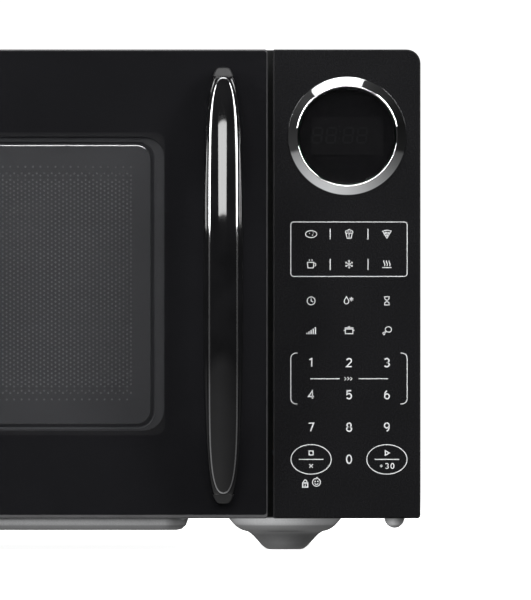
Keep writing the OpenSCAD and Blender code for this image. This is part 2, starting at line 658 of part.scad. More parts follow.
module turntable_motor() color([0.6, 0.6, 0.58]) difference() {
    union() {
        rod_z(tt, 24.5, track_z - sheet - 15, track_z - sheet - 0.5);
        rod_z(tt, 9, track_z - sheet - 0.51, track_z - sheet - 0.05);
        for (s = [-1, 1]) box([tt[0] + s * 30 - 6, tt[1] - 4, track_z - sheet - 1.6],
            [tt[0] + s * 30 + 6, tt[1] + 4, track_z - sheet - 0.05]);
        box([tt[0] - 8, tt[1] + 20, track_z - sheet - 13], [tt[0] + 8, tt[1] + 31, track_z - sheet - 4]);
    }
    rod_z(tt, 3.5 + fit, track_z - sheet - 9, track_z);
}

module turntable_shaft() color([0.9, 0.9, 0.88]) difference() {
    rod_z(tt, 3.5, track_z - sheet - 8.7, track_z + 7);
    box([tt[0] + 2.2, tt[1] - 5, track_z + 0.5], [tt[0] + 5, tt[1] + 5, track_z + 8]);
}

// Three-lobed drive hub that the glass turntable sits over
module turntable_coupler() color([0.85, 0.84, 0.78]) difference() {
    union() {
        rod_z(tt, 7.4, track_z + 0.6, track_z + 12);
        for (a = [0:120:240]) translate([tt[0], tt[1], track_z + 9]) rotate(a) {
            translate([0, -3.5, 0]) cube([13, 7, 4]);
            translate([13, 0, 0]) cylinder(r = 3.5, h = 4, $fn = 32);
        }
    }
    difference() {
        rod_z(tt, 3.5 + 0.02, track_z, track_z + 7.2);
        box([tt[0] + 2.25, tt[1] - 5, track_z + 0.5], [tt[0] + 5, tt[1] + 5, track_z + 8]);
    }
}

// Three-armed ring that carries the rollers, each held between the arm's end and the axle's head
wheel_x = [wheel_at - wheel_w / 2, wheel_at + wheel_w / 2];
module roller_ring() color([0.88, 0.87, 0.82]) {
    along_z(axle_z - 2.5, axle_z + 2.5) difference() {
        translate(tt) circle(25, $fn = smooth_fn);
        translate(tt) circle(19.5, $fn = smooth_fn);
    }
    along_z(axle_z - 2.5, axle_z + 1) difference() {
        translate(tt) circle(84, $fn = 96);
        translate(tt) circle(79, $fn = 96);
    }
    for (a = [30:120:270]) translate([tt[0], tt[1], axle_z]) rotate(a) {
        translate([24.5, -4, -2.5]) cube([wheel_x[0] - 0.5 - 24.5, 8, 5]);
        rod_x([0, 0], 2, 90, wheel_x[1] + 0.8);
        rod_x([0, 0], 3, wheel_x[1] + 0.5, wheel_x[1] + 1.9);
    }
}

module roller(a) color([0.9, 0.9, 0.86]) translate([tt[0], tt[1], axle_z]) rotate(a) rotate([0, 90, 0])
    rotate_extrude($fn = smooth_fn) polygon([
        [2 + fit, wheel_x[0]], [wheel_r - 0.8, wheel_x[0]], [wheel_r, wheel_x[0] + 0.8],
        [wheel_r, wheel_x[1] - 0.8], [wheel_r - 0.8, wheel_x[1]], [2 + fit, wheel_x[1]]]);
module roller_1() roller(30);
module roller_2() roller(150);
module roller_3() roller(270);

// Glass plate with a raised rim and three drive lugs underneath
module glass_turntable() color([0.75, 0.8, 0.8, 0.4]) {
    r = tray_d / 2;
    t = 4;
    translate([tt[0], tt[1], tray_z]) rotate_extrude($fn = 96) polygon([
        [0, 0], [r - 20, 0], [r - 8, 3], [r - 1, 11.4], [r, 12.6], [r - 0.6, 13.8], [r - 2, 14.2],
        [r - 3.4, 13.6], [r - 10.5, 6.2], [r - 21, t], [0, t]]);
    for (a = [60:120:300]) translate([tt[0], tt[1], tray_z - 5]) rotate(a)
        translate([8.5, -2, 0]) cube([7, 4, 5.01]);
}

// ---------------------------------------------------------------- magnetron and waveguide

wg = [[bay_x0, -10, 190], [bay_x0 + 35, 90, 262]];
module waveguide() color([0.6, 0.61, 0.62]) difference() {
    box(wg[0], wg[1]);
    box(wg[0] + [-1, 1, 1], wg[1] - [1, 1, 1]);
    rod_x(mag, 11, wg[1][0] - 3, wg[1][0] + 1);
}

module waveguide_cover() color([0.72, 0.68, 0.6]) along_x(cav_x1 - 0.6, cav_x1)
    rrect(feed[0][0] - 6, feed[0][1] - 5, feed[1][0] + 6, feed[1][1] + 5, 3);

yoke = [[wg[1][0] + 1, mag[0] - 40, mag[1] - 35], [wg[1][0] + 63, mag[0] + 40, mag[1] + 35]];
module magnetron_yoke() color([0.62, 0.63, 0.64]) difference() {
    union() {
        box(yoke[0], yoke[1]);
        box([wg[1][0] + 0.02, mag[0] - 46, mag[1] - 24], [wg[1][0] + 1.5, mag[0] + 46, mag[1] + 24]);
    }
    box(yoke[0] + [1.5, -1, 1.5], yoke[1] + [-1.5, 1, -1.5]);
    rod_x(mag, 12, wg[1][0] - 1, wg[1][0] + 4);
    rod_x(mag, 10, yoke[1][0] - 3, yoke[1][0] + 1);
    for (y = [-42.5, 42.5], z = [-17, 17]) rod_x(mag + [y, z], 2.2, wg[1][0] - 1, wg[1][0] + 3);
}

magnet_x = [yoke[0][0] + 1.5, yoke[1][0] - 12.5];
module magnetron_magnets() color([0.12, 0.12, 0.13]) for (x = magnet_x) difference() {
    rod_x(mag, 27, x, x + 11);
    rod_x(mag, 12, x - 1, x + 12);
}

module magnetron_tube() color([0.72, 0.45, 0.2]) {
    rod_x(mag, 18.95, yoke[0][0] + 12.6, yoke[1][0] - 12.6);
    rod_x(mag, 9.5, wg[1][0] - 4, yoke[0][0] + 12.61);
    rod_x(mag, 7.5, wg[1][0] - 19, wg[1][0] - 3.99);
    rod_x(mag, 8, yoke[1][0] - 12.61, yoke[1][0] - 0.5);
}

fin_x = [for (i = [0:6]) yoke[0][0] + 14.5 + i * 5];
module magnetron_fins() color([0.8, 0.81, 0.82]) for (x = fin_x) difference() {
    box([x, mag[0] - 37, mag[1] - 33], [x + 0.8, mag[0] + 37, mag[1] + 33]);
    rod_x(mag, 19, 0, 400);
}

terminals_x = yoke[1][0] + 16;
module magnetron_filter_box() color([0.6, 0.61, 0.62]) difference() {
    union() {
        box([yoke[1][0] + 0.02, mag[0] - 27, mag[1] - 26], [yoke[1][0] + 31, mag[0] + 27, mag[1] + 26]);
        rod_z([terminals_x, mag[0]], 8, mag[1] - 34, mag[1] - 25.9);
        for (x = [terminals_x - 4, terminals_x + 4])
            box([x - 0.4, mag[0] - 3, mag[1] - 42], [x + 0.4, mag[0] + 3, mag[1] - 33.9]);
    }
    box([yoke[1][0] + 1, mag[0] - 26, mag[1] - 25], [yoke[1][0] + 30, mag[0] + 26, mag[1] + 25]);
}

// Plastic duct that leads the magnetron's cooling air to the cavity inlet
module air_duct() color([0.8, 0.8, 0.76]) {
    y = [-80, -12];
    z = [wg[0][2] + 3, wg[1][2]];
    difference() {
        union() {
            box([bay_x0 + 0.05, y[0], z[0]], [yoke[1][0] + 1.6, y[1], z[1]]);
            box([wg[1][0] + 2, y[1] - 0.01, z[0]], [yoke[1][0] + 1.6, yoke[0][1] - 0.3, z[1]]);
        }
        box([bay_x0 - 1, y[0] + 1.6, z[0] + 1.6], [yoke[1][0], y[1] - 1.6, z[1] - 1.6]);
        box([wg[1][0] + 3.6, y[1] - 2, z[0] + 1.6], [yoke[1][0], yoke[0][1] + 1, z[1] - 1.6]);
    }
}

// ---------------------------------------------------------------- high-voltage parts

core = [[138, -100, bay_z0 + 2], [222, -50, bay_z0 + 72]];
core_leg = 28;
core_window = 14;
module transformer_core() color([0.3, 0.3, 0.3]) {
    c = (core[0][0] + core[1][0]) / 2;
    along_y(core[0][1], core[1][1]) difference() {
        translate([core[0][0], core[0][2]]) square([84, 70]);
        for (x = [c - core_leg / 2 - core_window, c + core_leg / 2])
            translate([x, core[0][2] + 14]) square([core_window, 42]);
    }
    difference() {
        box([core[0][0] - 8, core[0][1] - 6, bay_z0 + 0.02],
            [core[1][0] + 8, core[1][1] + 6, core[0][2] + 0.01]);
        for (x = [core[0][0] - 4, core[1][0] + 4], y = [core[0][1], core[1][1]])
            rod_z([x, y], 2.2, 0, 40);
    }
}

module winding(z0, z1, bulk) {
    c = (core[0][0] + core[1][0]) / 2;
    along_z(z0, z1) difference() {
        rrect(c - core_leg / 2 - bulk, core[0][1] - bulk, c + core_leg / 2 + bulk, core[1][1] + bulk,
            bulk);
        translate([c - core_leg / 2 - 0.1, core[0][1] - 0.1]) square([core_leg + 0.2, 50.2]);
    }
}
module transformer_windings() color([0.65, 0.35, 0.15]) {
    z = core[0][2] + 14;
    winding(z + 0.3, z + 19, 13.5);
    winding(z + 22, z + 41.7, 13.5);
}

cap_at = [177, bay_z0 + 19];           // axis of the capacitor can in x and z
module hv_capacitor() color([0.75, 0.76, 0.77]) {
    along_y(66, 156) slot(cap_at, 54, 34);
    for (x = [cap_at[0] - 12, cap_at[0] + 12]) {
        rod_y([x, cap_at[1]], 5, 58, 66.01);
        box([x - 3, 50, cap_at[1] - 0.4], [x + 3, 58.01, cap_at[1] + 0.4]);
    }
}

module capacitor_clamp() color([0.55, 0.56, 0.57]) along_y(100, 116) difference() {
    union() {
        slot(cap_at, 56.4, 36.4);
        translate([cap_at[0] - 36, bay_z0 + 0.05]) square([72, 1.2]);
    }
    slot(cap_at, 54.1, 34.1);
}

module hv_diode() color([0.1, 0.1, 0.1]) {
    rod_y([216, bay_z0 + 10], 3.2, 40, 56);
    rod_y([216, bay_z0 + 10], 0.6, 30, 66);
    box([212.5, 26, bay_z0 + 0.05], [219.5, 34, bay_z0 + 1.05]);
    box([215.4, 29.4, bay_z0 + 1], [216.6, 30.6, bay_z0 + 10.5]);
}

// Insulated leads: filament supply to the magnetron, and transformer to capacitor
module hv_leads() color([0.7, 0.1, 0.08]) {
    x = terminals_x;
    z = mag[1] - 42.6;
    wire([[188, -43, 79.5], [200, -30, 90], [214, 0, 120], [x - 4, 40, 150], [x - 4, 58, 170],
        [x - 4, 62, z]], 1.5);
    wire([[196, -42, 79.5], [212, -26, 86], [228, 4, 112], [x + 8, 44, 146], [x + 5, 60, 168],
        [x + 4, 62, z]], 1.5);
    wire([[170, -34.9, 50], [166, -20, 56], [162, 10, 50], [164, 36, 42], [165, 49, bay_z0 + 19]], 1.5);
}

// ---------------------------------------------------------------- cooling fan and lamp

shroud_y = [160, y_rear - sheet - 0.2];
motor_y = [118, 140];
module fan_shroud() color([0.82, 0.82, 0.78]) {
    difference() {
        rod_y(fan, 53, shroud_y[0], shroud_y[1]);
        rod_y(fan, 51, shroud_y[0] - 1, shroud_y[1] + 1);
    }
    along_y(shroud_y[1] - 2, shroud_y[1]) difference() {
        translate(fan - [50, 50]) square([100, 100]);
        translate(fan) circle(51, $fn = 96);
    }
    // two arms across the ring, each with a post that carries the motor
    for (s = [-1, 1]) {
        box([fan[0] + s * 27 - 3, motor_y[1] + 0.05, fan[1] - 5],
            [fan[0] + s * 27 + 3, shroud_y[0] + 0.01, fan[1] + 5]);
        box([fan[0] + s * 38 - 14, shroud_y[0] - 2, fan[1] - 5],
            [fan[0] + s * 38 + 14, shroud_y[0] + 0.01, fan[1] + 5]);
    }
}

// Shaded-pole motor: laminated yoke with a rotor bore, a coil on its lower limb and two bearing straps
module fan_motor() color([0.4, 0.4, 0.4]) {
    along_y(motor_y[0], motor_y[1]) difference() {
        translate(fan - [30, 44]) square([60, 62]);
        translate(fan) circle(12.5, $fn = smooth_fn);
        translate(fan - [18, 34]) square([36, 14]);
    }
    difference() {
        box([fan[0] - 16, motor_y[0] - 8, fan[1] - 52], [fan[0] + 16, motor_y[1] + 8, fan[1] - 22]);
        box([fan[0] - 17, motor_y[0] - 0.1, fan[1] - 44.1],
            [fan[0] + 17, motor_y[1] + 0.1, fan[1] - 33.9]);
    }
    // each: where the strap starts, and where its bearing starts
    for (y = [[motor_y[0] - 2, motor_y[0] - 9], [motor_y[1], motor_y[1]]]) difference() {
        union() {
            box([fan[0] - 20, y[0], fan[1] - 5], [fan[0] + 20, y[0] + 2, fan[1] + 5]);
            rod_y(fan, 6, y[1], y[1] + 9);
        }
        rod_y(fan, 2.5 + fit, y[1] - 1, y[1] + 10);
    }
}

// Impeller with its shaft and rotor
module fan_impeller() color([0.85, 0.85, 0.82]) {
    rod_y(fan, 2.5, motor_y[0] - 11, 183);
    rod_y(fan, 12, motor_y[0] + 1, motor_y[1] - 1);
    difference() {
        rod_y(fan, 15, 164, 182);
        rod_y(fan, 13, 163, 180);
    }
    rod_y(fan, 5, 164, 180.01);
    intersection() {
        for (a = [0:60:300]) translate([fan[0], 173, fan[1]]) rotate([0, a, 0])
            translate([14, 0, 0]) rotate([35, 0, 0]) translate([0, -1, -18]) cube([40, 2, 36]);
        difference() {
            rod_y(fan, fan_r, 164, 182);
            rod_y(fan, 14.5, 163, 183);
        }
    }
}

module oven_lamp() color([0.95, 0.9, 0.8]) {
    p = [bay_x0 + 13, 162];
    rod_y(p, 9, 90, 112);
    translate([p[0], 90, p[1]]) sphere(r = 9, $fn = smooth_fn);
    rod_y(p, 10, 112, 124);
    box([bay_x0 + 0.05, 112, 150], [bay_x0 + 1.5, 124, 174]);
    box([bay_x0 + 1.4, 121, 158], [bay_x0 + 6, 124, 166]);
}

module thermal_cutouts() color([0.2, 0.2, 0.2]) {
    for (p = [[yoke[0][0] + 31, mag[0] - 12, yoke[1][2] + 0.05], [60, 20, cav_z1 + sheet + 0.05]])
        translate(p) {
            rod_z([0, 0], 8, 1, 8);
            box([-14, -4, 0], [14, 4, 1.01]);
            for (x = [-5, 5]) box([x - 2, -0.4, 7.9], [x + 2, 0.4, 13]);
        }
}

// Mains filter on a bracket behind the back plate's upper right
module noise_filter_board() color([0.75, 0.65, 0.4]) {
    z = 252;
    box([150, 126, z], [226, 180, z + 1.6]);
    for (x = [156, 220]) box([x - 3, 179.9, z - 4], [x + 3, y_rear - sheet - 0.05, z + 1.6]);
    rod_z([168, 150], 10, z + 1.59, z + 14);
    box([184, 132, z + 1.59], [204, 142, z + 14]);
    rod_x([164, z + 6], 3, 182, 206);
    for (x = [182, 202]) box([x - 1, 160, z + 1.59], [x + 4, 168, z + 9]);
}

// ---------------------------------------------------------------- output

base_plate();
wrap_cover();
back_plate();
front_plate();
cavity();
cord_gland();
cabinet_screws();
upper_hinge();
lower_hinge();
door_frame();
door_mask();
door_glass();
door_screen();
inner_window();
choke_cover();
door_handle();
handle_screws();
door_hook();
hook_spring();
control_panel();
keypad_membrane();
display_bezel();
display_lens();
display_module();
control_board();
latch_board();
primary_switch();
monitor_switch();
secondary_switch();
primary_plunger();
monitor_plunger();
secondary_plunger();
turntable_motor();
turntable_shaft();
turntable_coupler();
roller_ring();
roller_1();
roller_2();
roller_3();
glass_turntable();
waveguide();
waveguide_cover();
magnetron_yoke();
magnetron_magnets();
magnetron_tube();
magnetron_fins();
magnetron_filter_box();
transformer_core();
transformer_windings();
hv_capacitor();
capacitor_clamp();
hv_diode();
fan_shroud();
fan_motor();
fan_impeller();
air_duct();
oven_lamp();
thermal_cutouts();
noise_filter_board();
hv_leads();
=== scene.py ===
# A countertop microwave oven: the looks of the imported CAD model, in metres, in the model's frame.
import json
import math

import bmesh
import bpy
import numpy as np
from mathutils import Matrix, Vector

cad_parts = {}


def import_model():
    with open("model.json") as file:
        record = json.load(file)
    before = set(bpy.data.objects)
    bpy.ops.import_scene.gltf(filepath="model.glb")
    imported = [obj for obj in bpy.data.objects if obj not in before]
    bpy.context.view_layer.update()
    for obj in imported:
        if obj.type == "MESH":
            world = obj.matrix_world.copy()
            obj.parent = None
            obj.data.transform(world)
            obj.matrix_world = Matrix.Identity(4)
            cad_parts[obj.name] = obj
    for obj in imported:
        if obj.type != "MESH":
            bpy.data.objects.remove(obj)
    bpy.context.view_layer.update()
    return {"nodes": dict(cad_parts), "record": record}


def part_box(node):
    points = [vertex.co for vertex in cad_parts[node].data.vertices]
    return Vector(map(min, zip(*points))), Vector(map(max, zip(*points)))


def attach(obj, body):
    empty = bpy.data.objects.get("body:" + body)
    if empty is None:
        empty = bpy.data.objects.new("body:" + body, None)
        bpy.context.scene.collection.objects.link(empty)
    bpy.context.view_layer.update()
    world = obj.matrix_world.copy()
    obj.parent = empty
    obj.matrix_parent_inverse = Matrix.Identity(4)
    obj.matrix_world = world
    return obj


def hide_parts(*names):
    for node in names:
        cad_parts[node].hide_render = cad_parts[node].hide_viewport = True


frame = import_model()
nodes = frame["nodes"]
scene = bpy.context.scene

MM = 0.001
WHITE = (1, 1, 1, 1)

# ------------------------------------------------------------------ places from the frame, in millimetres
GLASS = [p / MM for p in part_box("door_glass")]
PANEL = [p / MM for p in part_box("control_panel")]
HANDLE = [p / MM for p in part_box("door_handle")]
BEZEL = [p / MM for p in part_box("display_bezel")]
FILM = [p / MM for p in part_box("inner_window")]
SCREEN = [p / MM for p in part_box("door_screen")]
TRAY = [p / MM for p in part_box("glass_turntable")]
FRONT = GLASS[0].y                      # front face of the door and of the keypad
RIGHT = PANEL[1].x
LOW = PANEL[0].z
DISPLAY = ((BEZEL[0].x + BEZEL[1].x) / 2, (BEZEL[0].z + BEZEL[1].z) / 2)
HUB = ((TRAY[0].x + TRAY[1].x) / 2, (TRAY[0].y + TRAY[1].y) / 2)


# ------------------------------------------------------------------ camera, light and floor
def camera():
    """Square on to the front through a long lens, framing the oven's right half."""
    data = bpy.data.cameras.new("camera")
    cam = bpy.data.objects.new("camera", data)
    scene.collection.objects.link(cam)
    distance = 12.0
    framed_height = 0.346
    data.lens = data.sensor_width * distance / framed_height
    cam.location = (0.1531, FRONT * MM - distance, 0.1445)      # the oven's middle is at the left edge
    cam.rotation_euler = (math.radians(90), 0, 0)
    scene.camera = cam


def node_of(tree, kind, inputs=None, **properties):
    """A new node. Each input is set to a constant, or linked where its value is another node's output."""
    n = tree.nodes.new(kind)
    for key, value in properties.items():
        setattr(n, key, value)
    for key, value in (inputs or {}).items():
        if isinstance(value, bpy.types.NodeSocket):
            tree.links.new(value, n.inputs[key])
        else:
            n.inputs[key].default_value = value
    return n


def grey_ramp(tree, value, stops):
    """A colour ramp through grey stops, each of them (position, brightness)."""
    ramp = node_of(tree, "ShaderNodeValToRGB", {0: value})
    marks = ramp.color_ramp.elements
    while len(marks) < len(stops):
        marks.new(0.5)
    for mark, (position, grey) in zip(marks, stops):
        mark.position = position
        mark.color = (grey, grey, grey, 1)
    return ramp.outputs[0]


STUDIO_HEIGHTS = (                      # (height from straight down to straight up, brightness)
    (0.0, 0.75), (0.12, 0.6), (0.25, 0.42), (0.35, 0.3),
    (0.38, 0.05), (0.6, 0.03), (0.9, 0.06), (1.0, 0.1))


def world():
    """A white studio: even light for matt surfaces. Reflections see a bright floor and dark walls,
    dimmer towards the right."""
    w = bpy.data.worlds.new("studio")
    scene.world = w
    w.use_nodes = True
    t = w.node_tree
    t.nodes.clear()
    coord = node_of(t, "ShaderNodeTexCoord")
    xyz = node_of(t, "ShaderNodeSeparateXYZ", {0: coord.outputs["Generated"]})
    height = node_of(t, "ShaderNodeMath", {0: xyz.outputs["Z"], 1: 0.5, 2: 0.5}, operation="MULTIPLY_ADD")
    side = node_of(t, "ShaderNodeMapRange", {
        0: xyz.outputs["X"], "From Min": -0.3, "From Max": 0.9, "To Min": 1.0, "To Max": 0.3})
    studio = node_of(t, "ShaderNodeBackground", {
        0: grey_ramp(t, height.outputs[0], STUDIO_HEIGHTS), 1: side.outputs[0]})
    even = node_of(t, "ShaderNodeBackground", {0: WHITE, 1: 0.15})
    backdrop = node_of(t, "ShaderNodeBackground", {0: WHITE, 1: 1.1})
    ray = node_of(t, "ShaderNodeLightPath")
    lighting = node_of(t, "ShaderNodeMixShader", {
        0: ray.outputs["Is Glossy Ray"], 1: even.outputs[0], 2: studio.outputs[0]})
    seen = node_of(t, "ShaderNodeMixShader", {
        0: ray.outputs["Is Camera Ray"], 1: lighting.outputs[0], 2: backdrop.outputs[0]})
    node_of(t, "ShaderNodeOutputWorld", {0: seen.outputs[0]})


def softbox(name, azimuth, elevation, distance, size, radiance):
    """A rectangular light facing the oven. Azimuth 0 stands on the -Y side, 90 on the +X side."""
    data = bpy.data.lights.new(name, "AREA")
    data.shape = "RECTANGLE"
    data.size, data.size_y = size
    data.energy = radiance * math.pi * size[0] * size[1]
    light = bpy.data.objects.new(name, data)
    scene.collection.objects.link(light)
    a, e = math.radians(azimuth), math.radians(elevation)
    centre = Vector((0, 0, 0.15))
    way = Vector((math.sin(a) * math.cos(e), -math.cos(a) * math.cos(e), math.sin(e)))
    light.location = centre + way * distance
    light.rotation_euler = (-way).to_track_quat("-Z", "Y").to_euler()
    light.visible_camera = False


def lights():
    softbox("front_box", 0, 24.9, 2.6, (1.22, 0.88), 14.5)
    softbox("left_strip", -48, 27, 2.3, (0.5, 1.35), 19)
    softbox("right_strip", 52, 27, 2.3, (0.5, 1.35), 19)
    softbox("top_box", -16, 76, 2.2, (2.0, 2.0), 1.6)
    softbox("high_box", 0, 80, 1.9, (1.2, 0.5), 2.6)
    softbox("back_left", -140, 25, 2.4, (1.0, 1.0), 6)
    softbox("back_right", 140, 25, 2.4, (1.0, 1.0), 6)
    softbox("back_box", 180, 35, 2.6, (1.6, 0.8), 1.6)


def floor():
    """A white floor that glows nearly as bright as the backdrop and lights nothing."""
    size = 8.0
    corners = [(-size, -size, 0), (size, -size, 0), (size, size, 0), (-size, size, 0)]
    mesh = bpy.data.meshes.new("floor")
    mesh.from_pydata(corners, [], [(0, 1, 2, 3)])
    obj = bpy.data.objects.new("floor", mesh)
    scene.collection.objects.link(obj)
    mesh.materials.append(surface("floor_white", (0.86, 0.86, 0.86), 0.6, vary=0.01, scale=3,
                                  Emission_Color=WHITE, Emission_Strength=0.93))
    obj.visible_glossy = False
    obj.visible_diffuse = False


# ------------------------------------------------------------------ materials
def noise_of(tree, scale, detail, name=""):
    """A noise texture in the object's own space."""
    place = tree.nodes["place"].outputs[0]
    noise = node_of(tree, "ShaderNodeTexNoise", {"Vector": place, "Scale": scale, "Detail": detail})
    if name:
        noise.name = name
    return noise.outputs["Fac"]


def blend(tree, share, a, b):
    """A value that goes from a to b with the share."""
    return node_of(tree, "ShaderNodeMix", {0: share, 2: a, 3: b}, data_type="FLOAT").outputs[0]


def surface(name, colour, rough, metal=0.0, vary=0.08, scale=60.0, rough_vary=0.04,
            bump=0.0, bump_scale=900.0, bump_height=0.00005, stretch=(1, 1, 1),
            fine=0.0, fine_scale=1400.0, **sockets):
    """A Principled surface. Its colour and roughness drift, with a fine speckle and a fine relief.
    Other sockets are set by name, with _ for each space."""
    mat = bpy.data.materials.new(name)
    mat.use_nodes = True
    t = mat.node_tree
    t.nodes.clear()
    coord = node_of(t, "ShaderNodeTexCoord")
    node_of(t, "ShaderNodeMapping", {0: coord.outputs["Object"], "Scale": stretch}, name="place")
    drift = noise_of(t, scale, 6, "drift")
    tone = drift
    if fine:
        tone = blend(t, fine, drift, noise_of(t, fine_scale, 1))
    ramp = node_of(t, "ShaderNodeValToRGB", {0: tone}, name="tones")
    low, high = ramp.color_ramp.elements
    low.position, high.position = 0.3, 0.7
    low.color = (*[c * (1 - vary) for c in colour], 1)
    high.color = (*[min(1, c * (1 + vary)) for c in colour], 1)
    spread = node_of(t, "ShaderNodeMapRange", {
        0: drift, "To Min": max(0.0, rough - rough_vary), "To Max": min(1.0, rough + rough_vary)})
    shader = node_of(t, "ShaderNodeBsdfPrincipled", {
        "Base Color": ramp.outputs[0], "Roughness": spread.outputs[0], "Metallic": metal}, name="shader")
    for socket, value in sockets.items():
        shader.inputs[socket.replace("_", " ")].default_value = value
    if bump:
        relief = node_of(t, "ShaderNodeBump", {
            "Strength": bump, "Distance": bump_height, "Height": noise_of(t, bump_scale, 3)})
        t.links.new(relief.outputs[0], shader.inputs["Normal"])
    node_of(t, "ShaderNodeOutputMaterial", {0: shader.outputs[0]})
    return mat


def with_edge_wear(mat, colour, amount=0.5):
    """Lightens the base colour along convex edges, where paint and plating rub thin."""
    t = mat.node_tree
    geometry = node_of(t, "ShaderNodeNewGeometry")
    edge = node_of(t, "ShaderNodeMapRange", {
        0: geometry.outputs["Pointiness"], "From Min": 0.52, "From Max": 0.62, "To Max": amount})
    mix = node_of(t, "ShaderNodeMix", data_type="RGBA")
    t.links.new(edge.outputs[0], mix.inputs[0])
    t.links.new(t.nodes["tones"].outputs[0], mix.inputs[6])
    mix.inputs[7].default_value = (*colour, 1)
    t.links.new(mix.outputs[2], t.nodes["shader"].inputs["Base Color"])
    return mat


def spangled(mat, size=320.0, strength=0.35):
    """Zinc spangle: crystal cells that differ a little in tone."""
    t = mat.node_tree
    cells = node_of(t, "ShaderNodeTexVoronoi", {"Scale": size, "Vector": t.nodes["place"].outputs[0]})
    shade = node_of(t, "ShaderNodeSeparateColor", {0: cells.outputs["Color"]})
    tone = blend(t, strength, t.nodes["drift"].outputs["Fac"], shade.outputs[0])
    t.links.new(tone, t.nodes["tones"].inputs[0])
    return mat


def shaded_along(mat, axis, stops):
    """Paints light and shade into the colour along one axis. Stops are (place in millimetres, share of
    colour left).
    """
    t = mat.node_tree
    xyz = node_of(t, "ShaderNodeSeparateXYZ", {0: t.nodes["place"].outputs[0]})
    low, high = stops[0][0] * MM, stops[-1][0] * MM
    span = node_of(t, "ShaderNodeMapRange", {0: xyz.outputs[axis], "From Min": low, "From Max": high})
    places = [((place * MM - low) / (high - low), share) for place, share in stops]
    shares = grey_ramp(t, span.outputs[0], places)
    shade = node_of(t, "ShaderNodeMix", data_type="RGBA", blend_type="MULTIPLY")
    shade.inputs[0].default_value = 1.0
    t.links.new(t.nodes["tones"].outputs[0], shade.inputs[6])
    t.links.new(shares, shade.inputs[7])
    t.links.new(shade.outputs[2], t.nodes["shader"].inputs["Base Color"])
    return mat


BAND_AT_SCALE_1 = 0.314                 # width of a wave texture's band at scale 1


def banded(mat, axis, pitch, strength=0.6, height=0.0002):
    """Fine bands across one axis, pitch metres apart: laminations, wound wire or fins."""
    t = mat.node_tree
    wave = node_of(t, "ShaderNodeTexWave", {
        "Vector": t.nodes["place"].outputs[0], "Scale": BAND_AT_SCALE_1 / pitch, "Distortion": 0.4,
        "Detail": 1}, wave_type="BANDS", bands_direction=axis)
    tone = blend(t, strength, t.nodes["drift"].outputs["Fac"], wave.outputs["Fac"])
    t.links.new(tone, t.nodes["tones"].inputs[0])
    relief = node_of(t, "ShaderNodeBump", {
        "Strength": 0.6, "Distance": height, "Height": wave.outputs["Fac"]})
    t.links.new(relief.outputs[0], t.nodes["shader"].inputs["Normal"])
    return mat


def sheet_materials(add):
    """Painted, zinc-coated and enamelled sheet. The face round the cavity has painted shade that goes near
    black where it lies behind the panel's gap, and the floor pan has painted shade that darkens it down its
    legs."""
    with_edge_wear(
        add("coated_steel", (0.009, 0.009, 0.010), 0.42, vary=0.2, scale=40, bump=0.35, bump_scale=1500,
            bump_height=0.00004, fine=0.5, Specular_IOR_Level=0.3),
        (0.05, 0.05, 0.052), 0.3)
    # painted shade: the pan's colour falls off with height, darkest 8.5 mm up the legs, a little lighter at
    # the floor, full above 16 mm
    shaded_along(
        add("base_steel", (0.7, 0.704, 0.712), 0.34, 0.9, vary=0.12, scale=45, bump=0.25, fine=0.5,
            bump_scale=900),
        "Z", ((0.0, 0.22), (4.0, 0.26), (8.5, 0.18), (11.5, 0.29),
              (13.8, 0.42), (14.6, 0.84), (16.0, 1.0)))
    # painted shade: the face goes near black behind the panel's gap, where the gap lies in shadow
    panel_edge = PANEL[0].x
    shaded_along(
        add("seal_steel", (0.24, 0.245, 0.25), 0.36, vary=0.08, scale=50, bump=0.2, fine=0.4,
            bump_scale=1300, Specular_IOR_Level=0.12),
        "X", ((panel_edge - 4.5, 1.0), (panel_edge - 4.0, 0.02)))
    add("enamel", (0.46, 0.46, 0.44), 0.3, vary=0.16, scale=35, bump=0.25, fine=0.75, fine_scale=2200,
        bump_scale=1400)
    spangled(add("zinc_steel", (0.42, 0.43, 0.44), 0.34, 0.95, vary=0.14, scale=60, bump=0.15))


